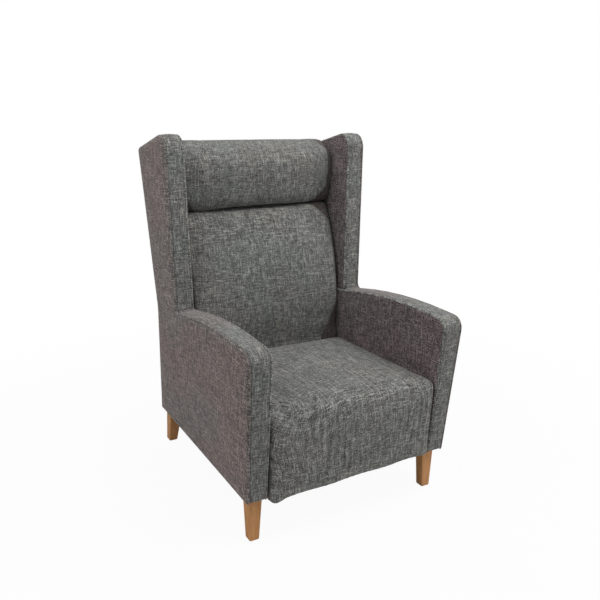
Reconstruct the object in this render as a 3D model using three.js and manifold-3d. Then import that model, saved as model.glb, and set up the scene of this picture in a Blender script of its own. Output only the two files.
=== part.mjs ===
// Acoustic high back lounge chair: an upholstered wing chair on four tapered oak legs.
// Millimetres, +Z up. The front of the chair faces -Y.
import * as THREE from 'three';
import { mergeVertices } from 'three/addons/utils/BufferGeometryUtils.js';
import Module from 'manifold-3d';

const wasm = await Module();
wasm.setup();

// Whole chair
const baseWidth = 740; // across the outer side panels at the underside of the body
const overallDepth = 886; // arm front to the upper back corner of the wings
const overallHeight = 1183; // floor to the top of the wings
const bodyBottom = 150; // floor to the underside of the body
const sideSplay = THREE.MathUtils.degToRad(0.8); // each side leans out by this much
const gap = 0.3; // between pieces that touch

// Outline of the two sides, seen from the side
const armLean = THREE.MathUtils.degToRad(6.17); // the arm's front leans forward to the top
const armRearHeight = 603; // floor to the arm's top where the wing rises
const armFrontRise = 28; // the arm's front corner, above that
const armCrownRise = 37; // and its highest point
const armCrownSetback = 213; // that point, back from the arm's front corner
const wingDepth = 289; // the wing's front edge to the upper back corner
const wingTopFall = THREE.MathUtils.degToRad(11.1); // the wing's top falls to the back
const backKinkDrop = 28; // the bend in the rear posts, below the arm's rear
const backLean = THREE.MathUtils.degToRad(8.8); // above the bend the back leans away
const backFootLean = THREE.MathUtils.degToRad(7.2); // and below it the other way
const bottomCornerRadius = 8;
const armCornerRadius = 40;
const wingRootRadius = 20;
const wingCornerRadius = 50;
const backCornerRadius = 15;
const kinkRadius = 120;

// Upholstery on the sides
const sidePanelThickness = 12;
const bandThickness = 12; // strip over the edges of arm and wing
const armThickness = 80; // at the top of the arm
const armFootThickness = 70; // at the bottom of the arm
const wingThickness = 73;
const innerPanelThickness = 10; // what shows of the inner pad beside the band
const edgeRadius = 9;

// Timber frame
const timberThickness = 44; // posts and side rails, across the chair
const postDepth = 45;
const frontPostDepth = 50;
const armRailDepth = 44;
const wingRailDepth = 48;
const sideRailDepth = 70;
const crossRailThickness = 25;
const frontRailInset = 28; // arm front to the front rail's face
const seatRailDrop = 138; // the front and rear seat rails, below the seat's edge
const backRailDepth = 42;
const lumbarRailRise = 27; // its lower edge, above the seat's edge
const middleRailDrop = 278; // lower edges below the top of the wings
const topRailDrop = 125;
const backPanelThickness = 9;
const backPanelDrop = 67; // the outside back, below the top of the wings
const dustCoverThickness = 1.2;
const blockSize = 72;
const blockHeight = 45;

// Seat
const seatHeight = 428; // floor to the seat's edge
const seatCrown = 14;
const seatSideSetback = 79; // from the outer panel's foot in to the seat's side
const seatBelly = 5; // the seat presses this much further out against the arms
const seatFrontLead = 3.4; // the seat's front edge stands this far ahead of the arm's front line
const seatFrontLean = 16;
const seatRearTuck = 3; // the seat stops this far ahead of the back pad's face
const seatBorderDrop = 4; // its front border hangs this far below the body's underside
const seatPadDepth = 56; // at the edge, above the foam base
const seatEdgeRadius = 22;
const seatEndRadius = 14;
const seatFrontBulge = 2;
const seatTopBow = 3; // the section's own curve, top and front
const seatFrontBow = 2;
const insulatorThickness = 4;
const seatFoamInset = 7; // each side, inside the seat
const seatFoamSetback = 143; // from the back corner forward to the foam's rear

// Springs and webs
const springCount = 5;
const springEdgeRoom = 64; // centre of the outer springs to the foam's side
const springWire = 3.8;
const springLoopWidth = 50;
const springLoops = 9;
const springArch = 24;
const springEndRun = 14; // straight end that lies on the rail
const webWidth = 60;
const webThickness = 2;
const lowerWebCount = 3;
const webLanding = 36; // what each end of a web covers on its post

// Back and headrest
const backPadTuck = 52; // the pad runs this far down behind the seat
const creaseDrop = 258; // top of the wings to the fold between the back pad and the headrest
const backFootSetback = 280; // back corner to the pad's face at the seat
const backCreaseSetback = 173; // and at the fold
const lumbarSwell = 38;
const backCrown = 15;
const backFootCrown = 3;
const backEndRadius = 20;
const backCornerSoftness = 26;
const backUpperCorner = { across: 62, up: 75 }; // its face's corners are rounded by this much
const backLowerCorner = { across: 75, up: 160 };
const headTopDrop = 10; // top of the wings to the top of the roll
const headFoldSetback = 175; // back corner to the roll's face at the fold
const headFrontSetback = 197; // and where it swells most
const headTopSetback = 98; // and where its top begins
const headDrop = 4; // the wing's top stands above the roll's back edge
const headBevel = 38; // from its top to the upper corner of its face
const headCrown = 28;
const headEndRadius = 24;
const headFoldRadius = 30;
const headCornerRadius = 58;
const headTopRadius = 30;
const headLowerCorner = { across: 78, up: 95 };
const borderFallShare = 0.55; // from the rounded corners out, the face falls back by this share

// Legs
const legTopWidth = 48;
const legTopDepth = 38;
const legFootWidth = 32;
const legFootDepth = 33;
const legTopInset = 42.5; // outer panel's foot to the leg's centre at the top
const legFootInset = 39.5;
const frontLegSetback = 47.5; // the arm's foot to the front leg's centre at the top
const frontLegRake = 1.5; // its foot stands this far behind its top
const rearLegSetback = 39; // the back's foot to the rear leg's centre at the top
const rearLegRake = 47;
const rearLegTopDepth = 48;
const rearLegFootDepth = 36;
const legChamfer = 2.5;
const glideRadius = 11;
const glideHeight = 2.5;
const boltRadius = 4;
const boltReach = 34; // into the leg, and into the post
const boltEndRoom = 2;
const boltHoleClearance = 0.8;

// How finely curves are cut
const cornerSteps = 6;
const roundingSteps = 3;
const crownSteps = 6;
const straightTurn = 1e-6; // edges that turn by less run straight on

// How far a sharp corner stands beyond its rounded form, as a share of the radius.
// One edge leans from upright and the other falls away.
function cornerShare(lean, fall) {
  const reach = 1 / Math.cos(lean) + Math.tan(lean) / Math.cos(fall);
  return reach / (1 + Math.tan(lean) * Math.tan(fall)) - 1;
}

// Places that follow from the sizes
const armFrontHeight = armRearHeight + armFrontRise;
const armCrownHeight = armRearHeight + armCrownRise;
const armLength = overallDepth - wingDepth;
const backKinkHeight = armRearHeight - backKinkDrop;
const frontCorner = -overallDepth / 2 - armCornerRadius * cornerShare(armLean, 0);
const backCorner = overallDepth / 2 + backCornerRadius * cornerShare(backLean, wingTopFall);
const armFoot = frontCorner + Math.tan(armLean) * (armFrontHeight - bodyBottom);
const wingFront = frontCorner + armLength;
const wingPeak = overallHeight + wingCornerRadius * cornerShare(wingTopFall, 0);
const wingBackHeight = wingPeak - Math.tan(wingTopFall) * (backCorner - wingFront);
const backKink = backCorner - Math.tan(backLean) * (wingBackHeight - backKinkHeight);
const backFoot = backKink + Math.tan(backFootLean) * (backKinkHeight - bodyBottom);
const frameBottom = bodyBottom + dustCoverThickness + gap;
const timberStart = sidePanelThickness + gap;
const timberEnd = timberStart + timberThickness;
const padStart = timberEnd + gap;
const bandInset = bandThickness + gap;
const postInset = backPanelThickness + gap;
const postFaceInset = postInset + postDepth;
const webInset = postFaceInset + gap + webThickness;
const padRearInset = webInset + gap;
const armRailBottom = armRearHeight - bandInset - armRailDepth;
const seatRailTop = seatHeight - seatRailDrop;
const lumbarRailHeight = seatHeight + lumbarRailRise;
const middleRailHeight = overallHeight - middleRailDrop;
const topRailHeight = overallHeight - topRailDrop;
const backPanelTop = overallHeight - backPanelDrop;
const seatHalfWidth = baseWidth / 2 - seatSideSetback;
const seatFront = seatFrontLead - frontY(seatHeight, 0);
const seatPadBase = seatHeight - seatPadDepth;
const seatFoamHalfWidth = seatHalfWidth - seatFoamInset;
const seatFoamRear = overallDepth / 2 - seatFoamSetback;
const springPitch = (2 * (seatFoamHalfWidth - springEdgeRoom)) / (springCount - 1);
const backPadBottom = seatHeight - backPadTuck;
const creaseHeight = overallHeight - creaseDrop;
const backFootFace = overallDepth / 2 - backFootSetback;
const seatRear = backFootFace - seatRearTuck;
const backCreaseFace = overallDepth / 2 - backCreaseSetback;
const headTop = overallHeight - headTopDrop;
const headFoldFace = overallDepth / 2 - headFoldSetback;
const headFrontFace = overallDepth / 2 - headFrontSetback;
const headTopFace = overallDepth / 2 - headTopSetback;
const legTopCentre = baseWidth / 2 - legTopInset;
const legFootCentre = baseWidth / 2 - legFootInset;
const frontLegTop = -armFoot - frontLegSetback;
const frontLegFoot = frontLegTop - frontLegRake;
const rearLegTop = backFoot - rearLegSetback;
const rearLegFoot = rearLegTop + rearLegRake;
const legTop = frameBottom - gap;
const springRest = seatRailTop + gap + springWire / 2;

// Materials
const fabric = { color: 0x666565, roughness: 0.95, metalness: 0 };
const warmFabric = { color: 0x6c6563, roughness: 0.95, metalness: 0 };
const beech = { color: 0xc9a777, roughness: 0.7, metalness: 0 };
const oak = { color: 0xa0754c, roughness: 0.5, metalness: 0 };
const foam = { color: 0xe6e1cf, roughness: 0.95, metalness: 0 };
const felt = { color: 0x6f6a62, roughness: 1, metalness: 0 };
const webbing = { color: 0x2c2c2e, roughness: 0.9, metalness: 0 };
const dustCloth = { color: 0x262627, roughness: 1, metalness: 0 };
const steel = { color: 0x8d8f92, roughness: 0.4, metalness: 1 };
const nylon = { color: 0x3a3a3a, roughness: 0.6, metalness: 0 };

const chair = new THREE.Group();

function addPiece(parent, name, geometry, finish) {
  const piece = new THREE.Mesh(geometry, new THREE.MeshStandardMaterial(finish));
  piece.name = name;
  parent.add(piece);
}

// The two sides are built upright and then leaned out about their lower outer edge.
function makeSide(sign) {
  const lean = new THREE.Group();
  lean.position.set((sign * baseWidth) / 2, 0, bodyBottom);
  lean.rotation.y = sign * sideSplay;
  const upright = new THREE.Group();
  upright.position.z = -bodyBottom;
  lean.add(upright);
  chair.add(lean);
  return upright;
}

const leftSide = makeSide(-1);
const rightSide = makeSide(1);

function mirrored(geometry) {
  const copy = geometry.clone();
  copy.applyMatrix4(new THREE.Matrix4().makeScale(-1, 1, 1));
  const index = copy.index.array;
  for (let i = 0; i < index.length; i += 3) {
    [index[i + 1], index[i + 2]] = [index[i + 2], index[i + 1]];
  }
  return copy;
}

function addSidePair(name, geometry, finish) {
  addPiece(leftSide, `${name}_left`, geometry, finish);
  addPiece(rightSide, `${name}_right`, mirrored(geometry), finish);
}

// How far the plane at a depth inside the outer face stands from the centre of the chair.
function sideX(z, depth) {
  return baseWidth / 2 + (z - bodyBottom) * Math.tan(sideSplay) - depth / Math.cos(sideSplay);
}

// The back's rear line at a height, moved forward by an inset measured square to it.
function rearY(z, inset) {
  const slope = z < backKinkHeight ? -Math.tan(backFootLean) : Math.tan(backLean);
  return backKink + slope * (z - backKinkHeight) - inset * Math.hypot(1, slope);
}

// The arm's front line at a height, moved back by an inset.
function frontY(z, inset) {
  return armFoot - Math.tan(armLean) * (z - bodyBottom) + inset / Math.cos(armLean);
}

function wingTopZ(y, inset) {
  return wingPeak - Math.tan(wingTopFall) * (y - wingFront) - inset / Math.cos(wingTopFall);
}

// The arm's top is a parabola, highest at its crown.
function armTopZ(y) {
  const crown = frontCorner + armCrownSetback;
  const fall = (armCrownHeight - armRearHeight) / (wingFront - crown) ** 2;
  return armCrownHeight - fall * (y - crown) ** 2;
}

// Corners of a closed outline, counter-clockwise, moved in by an inset. Each corner is [y, z, radius].
function insetCorners(corners, inset) {
  const count = corners.length;
  const edges = corners.map(([y, z], i) => {
    const next = corners[(i + 1) % count];
    const length = Math.hypot(next[0] - y, next[1] - z);
    const dy = (next[0] - y) / length;
    const dz = (next[1] - z) / length;
    return { y: y - dz * inset, z: z + dy * inset, dy, dz };
  });
  return corners.map(([, , radius], i) => {
    const a = edges[(i + count - 1) % count];
    const b = edges[i];
    const turn = a.dy * b.dz - a.dz * b.dy;
    if (Math.abs(turn) < straightTurn) {
      return [b.y, b.z, radius];
    }
    const along = ((b.y - a.y) * b.dz - (b.z - a.z) * b.dy) / turn;
    const moved = turn > 0 ? Math.max(radius - inset, radius ? gap * 2 : 0) : radius + inset;
    return [a.y + a.dy * along, a.z + a.dz * along, radius ? moved : 0];
  });
}

// Points of an outline with its corners rounded. Every rounded corner gives the same number of points.
function roundedOutline(corners) {
  const count = corners.length;
  return corners.flatMap(([y, z, radius], i) => {
    if (!radius) {
      return [[y, z]];
    }
    const before = corners[(i + count - 1) % count];
    const after = corners[(i + 1) % count];
    const arrive = new THREE.Vector2(before[0] - y, before[1] - z).normalize();
    const leave = new THREE.Vector2(after[0] - y, after[1] - z).normalize();
    const half = Math.acos(THREE.MathUtils.clamp(arrive.dot(leave), -1, 1)) / 2;
    const reach = radius / Math.tan(half);
    const middle = arrive.clone().add(leave).normalize().multiplyScalar(radius / Math.sin(half));
    const start = Math.atan2(arrive.y * reach - middle.y, arrive.x * reach - middle.x);
    const end = Math.atan2(leave.y * reach - middle.y, leave.x * reach - middle.x);
    const sweep = THREE.MathUtils.euclideanModulo(end - start + Math.PI, 2 * Math.PI) - Math.PI;
    return Array.from({ length: cornerSteps + 1 }, (_, step) => {
      const angle = start + (sweep * step) / cornerSteps;
      return [y + middle.x + radius * Math.cos(angle), z + middle.y + radius * Math.sin(angle)];
    });
  });
}

// A closed solid through a stack of outlines with equal point counts. place turns (a, b, level)
// into a point, and keeps the turning sense of the three axes.
function stackedSolid(layers, place) {
  const count = layers[0].points.length;
  const positions = layers.flatMap(({ points, level }) => points.flatMap(([a, b]) => place(a, b, level)));
  const index = [];
  for (let k = 0; k + 1 < layers.length; k += 1) {
    for (let i = 0; i < count; i += 1) {
      const j = (i + 1) % count;
      const [low, lowNext] = [k * count + i, k * count + j];
      const [high, highNext] = [low + count, lowNext + count];
      index.push(low, lowNext, highNext, low, highNext, high);
    }
  }
  const addCap = (layer, offset, flip) => {
    const contour = layer.points.map(([a, b]) => new THREE.Vector2(a, b));
    for (const [p, q, r] of THREE.ShapeUtils.triangulateShape(contour, [])) {
      index.push(offset + p, offset + (flip ? r : q), offset + (flip ? q : r));
    }
  };
  addCap(layers[0], 0, true);
  addCap(layers[layers.length - 1], (layers.length - 1) * count, false);
  const geometry = new THREE.BufferGeometry();
  geometry.setAttribute('position', new THREE.Float32BufferAttribute(positions, 3));
  geometry.setIndex(index);
  return geometry;
}

// A quarter round in equal turns: how far in the level has come, and what inset is left.
function rounding(radius) {
  return Array.from({ length: roundingSteps + 1 }, (_, step) => {
    const angle = (step / roundingSteps) * (Math.PI / 2);
    return { advance: radius * (1 - Math.cos(angle)), inset: radius * (1 - Math.sin(angle)) };
  });
}

// A board of one thickness, cut to an outline in the side plane.
function sideBoard(points) {
  const layers = [
    { points, level: timberStart },
    { points, level: timberEnd },
  ];
  return stackedSolid(layers, (y, z, depth) => [depth, y, z]);
}

// Solids for cutting holes
function toManifold(geometry) {
  const bare = new THREE.BufferGeometry();
  bare.setAttribute('position', geometry.getAttribute('position'));
  bare.setIndex(geometry.index);
  const merged = mergeVertices(bare);
  const vertProperties = new Float32Array(merged.getAttribute('position').array);
  const triVerts = new Uint32Array(merged.index.array);
  return new wasm.Manifold(new wasm.Mesh({ numProp: 3, vertProperties, triVerts }));
}

function toGeometry(solid) {
  const mesh = solid.getMesh();
  const geometry = new THREE.BufferGeometry();
  geometry.setAttribute('position', new THREE.BufferAttribute(mesh.vertProperties, 3));
  geometry.setIndex(new THREE.BufferAttribute(mesh.triVerts, 1));
  return geometry;
}

function withHole(geometry, x, y, z, radius, depth) {
  const sides = 16;
  const drill = new THREE.CylinderGeometry(radius, radius, depth, sides);
  drill.rotateX(Math.PI / 2);
  drill.translate(x, y, z);
  return toGeometry(toManifold(geometry).subtract(toManifold(drill)));
}

// The sides' outline, counter-clockwise from the arm's foot
const armTopCount = crownSteps + 1;

function armTopCorners(from, to) {
  return Array.from({ length: armTopCount }, (_, step) => {
    const y = from + ((to - from) * step) / crownSteps;
    return [y, armTopZ(y), 0];
  });
}

const armTopEnd = frontCorner + armCornerRadius * 2;
const armTopStart = wingFront - wingRootRadius * 2;
const sideCorners = [
  [armFoot, bodyBottom, bottomCornerRadius],
  [backFoot, bodyBottom, bottomCornerRadius],
  [backKink, backKinkHeight, kinkRadius],
  [backCorner, wingBackHeight, backCornerRadius],
  [wingFront, wingPeak, wingCornerRadius],
  [wingFront, armRearHeight, wingRootRadius],
  ...armTopCorners(armTopStart, armTopEnd),
  [frontCorner, armFrontHeight, armCornerRadius],
];

function outerSidePanel() {
  const layers = rounding(edgeRadius).map(({ advance, inset }) => ({
    points: roundedOutline(insetCorners(sideCorners, inset)),
    level: advance,
  }));
  layers.push({ points: roundedOutline(sideCorners), level: sidePanelThickness });
  return stackedSolid(layers, (y, z, depth) => [depth, y, z]);
}

// Inside the frame, the arm thins towards its foot.
function armDepth(depth, z) {
  if (depth <= timberEnd) {
    return depth;
  }
  const rise = THREE.MathUtils.clamp((z - bodyBottom) / (armRearHeight - bodyBottom), 0, 1);
  const footShare = (armFootThickness - timberEnd) / (armThickness - timberEnd);
  return timberEnd + (depth - timberEnd) * (footShare + (1 - footShare) * rise);
}

// Some of the outline's points in order, moved in by an inset
function outlineRun(inset, from, to) {
  const points = roundedOutline(insetCorners(sideCorners, inset));
  return Array.from({ length: to - from + 1 }, (_, i) => points[(from + i) % points.length]);
}

// A strip between a line on the outline and a line inside it. Both lines stop short by the gap.
function bandStrip(outer, inner, width, place) {
  const shorten = (line) => {
    const pull = (end, next) => {
      const share = gap / Math.hypot(next[0] - end[0], next[1] - end[1]);
      return [end[0] + (next[0] - end[0]) * share, end[1] + (next[1] - end[1]) * share];
    };
    const last = line.length - 1;
    return [pull(line[0], line[1]), ...line.slice(1, last), pull(line[last], line[last - 1])];
  };
  const points = [...shorten(outer), ...shorten(inner).reverse()];
  const layers = [
    { points, level: timberStart },
    { points, level: width },
  ];
  return stackedSolid(layers, place);
}

// Where the outline's rounded corners lie in its list of points
const cornerSpan = cornerSteps + 1;
const backCornerStart = cornerSpan * 3;
const wingRootMiddle = cornerSpan * 5 + cornerSteps / 2;
const armFootStart = cornerSpan * 7 + armTopCount;
const armFootMiddle = armFootStart + cornerSteps / 2;

function armBand() {
  const width = armThickness - innerPanelThickness - gap;
  const outer = outlineRun(0, wingRootMiddle, armFootMiddle);
  const inner = outlineRun(bandThickness, wingRootMiddle, armFootStart);
  return bandStrip(outer, inner, width, (y, z, depth) => [armDepth(depth, z), y, z]);
}

function wingBand() {
  const width = wingThickness - innerPanelThickness - gap;
  const line = (inset) => [
    [rearY(backPanelTop, inset), backPanelTop],
    ...outlineRun(inset, backCornerStart, wingRootMiddle),
  ];
  return bandStrip(line(0), line(bandThickness), width, (y, z, depth) => [depth, y, z]);
}

// An inner pad: a core behind the band's edge, and a rounded panel that shows beside the band.
function innerPad(corners, thickness, place) {
  const core = roundedOutline(insetCorners(corners, bandInset + gap));
  const face = thickness - innerPanelThickness;
  const layers = [
    { points: core, level: padStart },
    { points: core, level: face - gap },
    { points: roundedOutline(corners), level: face },
  ];
  const rounds = rounding(Math.min(edgeRadius, innerPanelThickness - gap)).reverse();
  for (const { advance, inset } of rounds) {
    const points = roundedOutline(insetCorners(corners, inset));
    layers.push({ points, level: thickness - advance });
  }
  return stackedSolid(layers, place);
}

// Behind the front rail the pad stops at the rail's top, and in front of it a strip runs down.
function innerArmPad() {
  const foot = seatRailTop + gap;
  const corners = [
    [armFoot, bodyBottom, bottomCornerRadius],
    [frontY(bodyBottom, frontRailInset) - gap, bodyBottom, 0],
    [frontY(foot, frontRailInset) - gap, foot, 0],
    [rearY(foot, padRearInset), foot, bottomCornerRadius],
    [rearY(backKinkHeight, padRearInset), backKinkHeight, 0],
    [rearY(armRearHeight, padRearInset), armRearHeight, bottomCornerRadius],
    [wingFront, armRearHeight, 0],
    ...armTopCorners(armTopStart, armTopEnd),
    [frontCorner, armFrontHeight, armCornerRadius],
  ];
  return innerPad(corners, armThickness, (y, z, depth) => [armDepth(depth, z), y, z]);
}

// Above the top web the wing's inner pad runs on over the post to the back of the chair.
function innerWingPad() {
  const foot = armRearHeight + gap;
  const step = topRailHeight + backRailDepth + gap;
  const rearLine = postInset + gap;
  const corners = [
    [wingFront, foot, bottomCornerRadius],
    [rearY(foot, padRearInset), foot, bottomCornerRadius],
    [rearY(step, padRearInset), step, 0],
    [rearY(step, rearLine), step, 0],
    [...backTopPoint(rearLine, 0), bottomCornerRadius],
    [wingFront, wingPeak, wingCornerRadius],
  ];
  return innerPad(corners, wingThickness, (y, z, depth) => [depth, y, z]);
}

// Timber frame of one side
const wingRailUnderside = bandInset + wingRailDepth;

// Where a line inside the back meets a line under the wing's top
function backTopPoint(backInset, topInset) {
  const slope = Math.tan(backLean);
  const fall = Math.tan(wingTopFall);
  const start = rearY(wingBackHeight, backInset);
  const drop = (wingTopZ(start, topInset) - wingBackHeight) / (1 + slope * fall);
  return [start + slope * drop, wingBackHeight + drop];
}

function rearPost() {
  const top = wingRailUnderside + gap;
  const points = [
    [rearY(frameBottom, postInset), frameBottom],
    [rearY(backKinkHeight, postInset), backKinkHeight],
    backTopPoint(postInset, top),
    backTopPoint(postFaceInset, top),
    [rearY(backKinkHeight, postFaceInset), backKinkHeight],
    [rearY(frameBottom, postFaceInset), frameBottom],
  ];
  const hole = boltRadius + boltHoleClearance;
  const drill = 2 * (boltReach + boltEndRoom);
  return withHole(sideBoard(points), baseWidth / 2 - legTopCentre, rearLegTop, frameBottom, hole, drill);
}

function frontPost() {
  const top = armRailBottom - gap;
  const points = [
    [frontY(frameBottom, bandInset), frameBottom],
    [frontY(frameBottom, bandInset) + frontPostDepth, frameBottom],
    [frontY(top, bandInset) + frontPostDepth, top],
    [frontY(top, bandInset), top],
  ];
  const hole = boltRadius + boltHoleClearance;
  const drill = 2 * (boltReach + boltEndRoom);
  return withHole(sideBoard(points), baseWidth / 2 - legTopCentre, -frontLegTop, frameBottom, hole, drill);
}

function armRail() {
  const top = armRearHeight - bandInset;
  const crown = armTopCorners(armTopStart, armTopEnd).map(([y, z]) => [y, z - bandInset, 0]);
  const corners = [
    [frontY(armRailBottom, bandInset), armRailBottom, 0],
    [rearY(armRailBottom, postFaceInset + gap), armRailBottom, 0],
    [rearY(backKinkHeight, postFaceInset + gap), backKinkHeight, 0],
    [rearY(top, postFaceInset + gap), top, 0],
    [wingFront, top, 0],
    ...crown,
    [frontY(armFrontHeight - bandInset, bandInset), armFrontHeight - bandInset, armCornerRadius - bandInset],
  ];
  return sideBoard(roundedOutline(corners));
}

function sideRail() {
  const top = frameBottom + sideRailDepth;
  const front = (z) => frontY(z, bandInset) + frontPostDepth + gap;
  const points = [
    [front(frameBottom), frameBottom],
    [rearY(frameBottom, postFaceInset + gap), frameBottom],
    [rearY(top, postFaceInset + gap), top],
    [front(top), top],
  ];
  return sideBoard(points);
}

function wingPost() {
  const front = wingFront + bandInset;
  const foot = armRearHeight - bandInset + gap;
  const points = [
    [front, foot],
    [front + postDepth, foot],
    [front + postDepth, wingTopZ(front + postDepth, wingRailUnderside + gap)],
    [front, wingTopZ(front, wingRailUnderside + gap)],
  ];
  return sideBoard(points);
}

function wingTopRail() {
  const front = wingFront + bandInset;
  const corners = [
    [front, wingTopZ(front, wingRailUnderside), 0],
    [...backTopPoint(bandInset, wingRailUnderside), 0],
    [...backTopPoint(bandInset, bandInset), backCornerRadius - bandInset],
    [front, wingTopZ(front, bandInset), wingCornerRadius - bandInset],
  ];
  return sideBoard(roundedOutline(corners));
}

addSidePair('outer_side_panel', outerSidePanel(), warmFabric);
addSidePair('arm_band', armBand(), fabric);
addSidePair('wing_band', wingBand(), fabric);
addSidePair('inner_arm_pad', innerArmPad(), fabric);
addSidePair('inner_wing_pad', innerWingPad(), fabric);
addSidePair('rear_post', rearPost(), beech);
addSidePair('front_post', frontPost(), beech);
addSidePair('arm_rail', armRail(), beech);
addSidePair('side_rail', sideRail(), beech);
addSidePair('wing_post', wingPost(), beech);
addSidePair('wing_top_rail', wingTopRail(), beech);

// A piece that runs across the chair with one section, cut at both ends to the lean of the sides.
function crossPiece(points, depth) {
  const layers = [
    { points, level: -1 },
    { points, level: 1 },
  ];
  return stackedSolid(layers, (y, z, share) => [share * (sideX(z, depth) - gap), y, z]);
}

function frontRail() {
  const section = [
    [frontY(frameBottom, frontRailInset), frameBottom],
    [frontY(frameBottom, frontRailInset) + crossRailThickness, frameBottom],
    [frontY(seatRailTop, frontRailInset) + crossRailThickness, seatRailTop],
    [frontY(seatRailTop, frontRailInset), seatRailTop],
  ];
  return crossPiece(section, timberEnd);
}

// A rail between the rear posts, with its front face in line with theirs.
function backRail(bottom, top) {
  const section = [
    [rearY(bottom, postFaceInset), bottom],
    [rearY(bottom, postFaceInset) + crossRailThickness, bottom],
    [rearY(top, postFaceInset) + crossRailThickness, top],
    [rearY(top, postFaceInset), top],
  ];
  return crossPiece(section, timberEnd);
}

addPiece(chair, 'front_rail', frontRail(), beech);
addPiece(chair, 'rear_seat_rail', backRail(frameBottom, seatRailTop), beech);
addPiece(chair, 'lumbar_rail', backRail(lumbarRailHeight, lumbarRailHeight + backRailDepth), beech);
addPiece(chair, 'middle_back_rail', backRail(middleRailHeight, middleRailHeight + backRailDepth), beech);
addPiece(chair, 'top_back_rail', backRail(topRailHeight, topRailHeight + backRailDepth), beech);

// A web lies on the front faces of both rear posts.
function backWeb(height) {
  const [bottom, top] = [height - webWidth / 2, height + webWidth / 2];
  const section = [
    [rearY(bottom, webInset), bottom],
    [rearY(bottom, postFaceInset + gap), bottom],
    [rearY(top, postFaceInset + gap), top],
    [rearY(top, webInset), top],
  ];
  return crossPiece(section, timberEnd - webLanding);
}

// The lower webs are spread between the arms and the middle rail, and one more is above that rail.
const webHeights = Array.from({ length: lowerWebCount }, (_, i) =>
  THREE.MathUtils.lerp(armRearHeight, middleRailHeight, (i + 1 / 2) / lowerWebCount),
);
webHeights.push((middleRailHeight + backRailDepth + topRailHeight) / 2);
webHeights.forEach((height, i) => addPiece(chair, `back_web_${i + 1}`, backWeb(height), webbing));

// Serpentine springs arch from the front rail to the rear seat rail.
const springStart = frontY(seatRailTop, frontRailInset) + crossRailThickness / 2;
const springEnd = rearY(seatRailTop, postFaceInset) + crossRailThickness / 2;

function springHeight(y) {
  const share = THREE.MathUtils.clamp((y - springStart) / (springEnd - springStart), 0, 1);
  return springRest + springArch * Math.sin(Math.PI * share);
}

function seatSpring(x) {
  const pointsPerLoop = 8;
  const [from, to] = [springStart + springEndRun, springEnd - springEndRun];
  const points = [new THREE.Vector3(x, springStart, springRest)];
  for (let i = 0; i <= springLoops * pointsPerLoop; i += 1) {
    const turn = (2 * Math.PI * i) / pointsPerLoop;
    const y = from + ((to - from) * i) / (springLoops * pointsPerLoop);
    points.push(new THREE.Vector3(x + (springLoopWidth / 2) * Math.sin(turn), y, springHeight(y)));
  }
  points.push(new THREE.Vector3(x, springEnd, springRest));
  const section = new THREE.Shape();
  const sides = 5;
  for (let i = 0; i < sides; i += 1) {
    const angle = (2 * Math.PI * i) / sides;
    const place = [(springWire / 2) * Math.cos(angle), (springWire / 2) * Math.sin(angle)];
    if (i === 0) {
      section.moveTo(...place);
    } else {
      section.lineTo(...place);
    }
  }
  const extrudePath = new THREE.CatmullRomCurve3(points);
  return new THREE.ExtrudeGeometry(section, { steps: springLoops * pointsPerLoop, extrudePath });
}

for (let i = 0; i < springCount; i += 1) {
  const x = (i - (springCount - 1) / 2) * springPitch;
  addPiece(chair, `seat_spring_${i + 1}`, seatSpring(x), steel);
}

// Layers of one closed section across the chair, closer together towards its rounded ends
function padLayers(corners, halfWidth, endRadius, middleSteps) {
  const rounds = rounding(endRadius);
  const ends = rounds.map(({ advance, inset }) => ({ share: 1 - advance / halfWidth, inset }));
  const inner = 1 - endRadius / halfWidth;
  const middle = Array.from({ length: middleSteps - 1 }, (_, i) => ({
    share: inner * Math.cos((Math.PI * (i + 1)) / middleSteps),
    inset: 0,
  }));
  const farEnds = ends.map(({ share, inset }) => ({ share: -share, inset })).reverse();
  const stations = [...ends, ...middle, ...farEnds];
  return stations.reverse().map(({ share, inset }) => ({
    points: roundedOutline(insetCorners(corners, inset)),
    level: share,
  }));
}

// Points between two corners of a section, bowed outwards, for a crown to lift.
function bowedEdge(from, to, bow, pieces) {
  const [dy, dz] = [to[0] - from[0], to[1] - from[1]];
  const length = Math.hypot(dy, dz);
  return Array.from({ length: pieces - 1 }, (_, k) => {
    const share = (k + 1) / pieces;
    const out = 4 * bow * share * (1 - share);
    return [from[0] + dy * share + (dz / length) * out, from[1] + dz * share - (dy / length) * out, 0];
  });
}

// The insulator and the foam base follow the springs' arch.
function archCorners(from, to, lift, steps) {
  return Array.from({ length: steps + 1 }, (_, i) => {
    const y = from + ((to - from) * i) / steps;
    return [y, springHeight(y) + springWire / 2 + lift];
  });
}

function seatInsulator() {
  const steps = 14;
  const lower = archCorners(springStart, springEnd, gap, steps);
  const upper = archCorners(springStart, springEnd, gap + insulatorThickness, steps).reverse();
  const layers = [-1, 1].map((level) => ({ points: [...lower, ...upper], level }));
  return stackedSolid(layers, (y, z, share) => [share * seatFoamHalfWidth, y, z]);
}

function seatFoam() {
  const steps = 14;
  const lift = insulatorThickness + 2 * gap;
  const lower = archCorners(springStart, seatFoamRear, lift, steps);
  const top = seatPadBase - gap;
  const front = frontY(top, frontRailInset);
  const points = [...lower, [seatFoamRear, top], [front, top]];
  const layers = [-1, 1].map((level) => ({ points, level }));
  return stackedSolid(layers, (y, z, share) => [share * seatFoamHalfWidth, y, z]);
}

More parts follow.
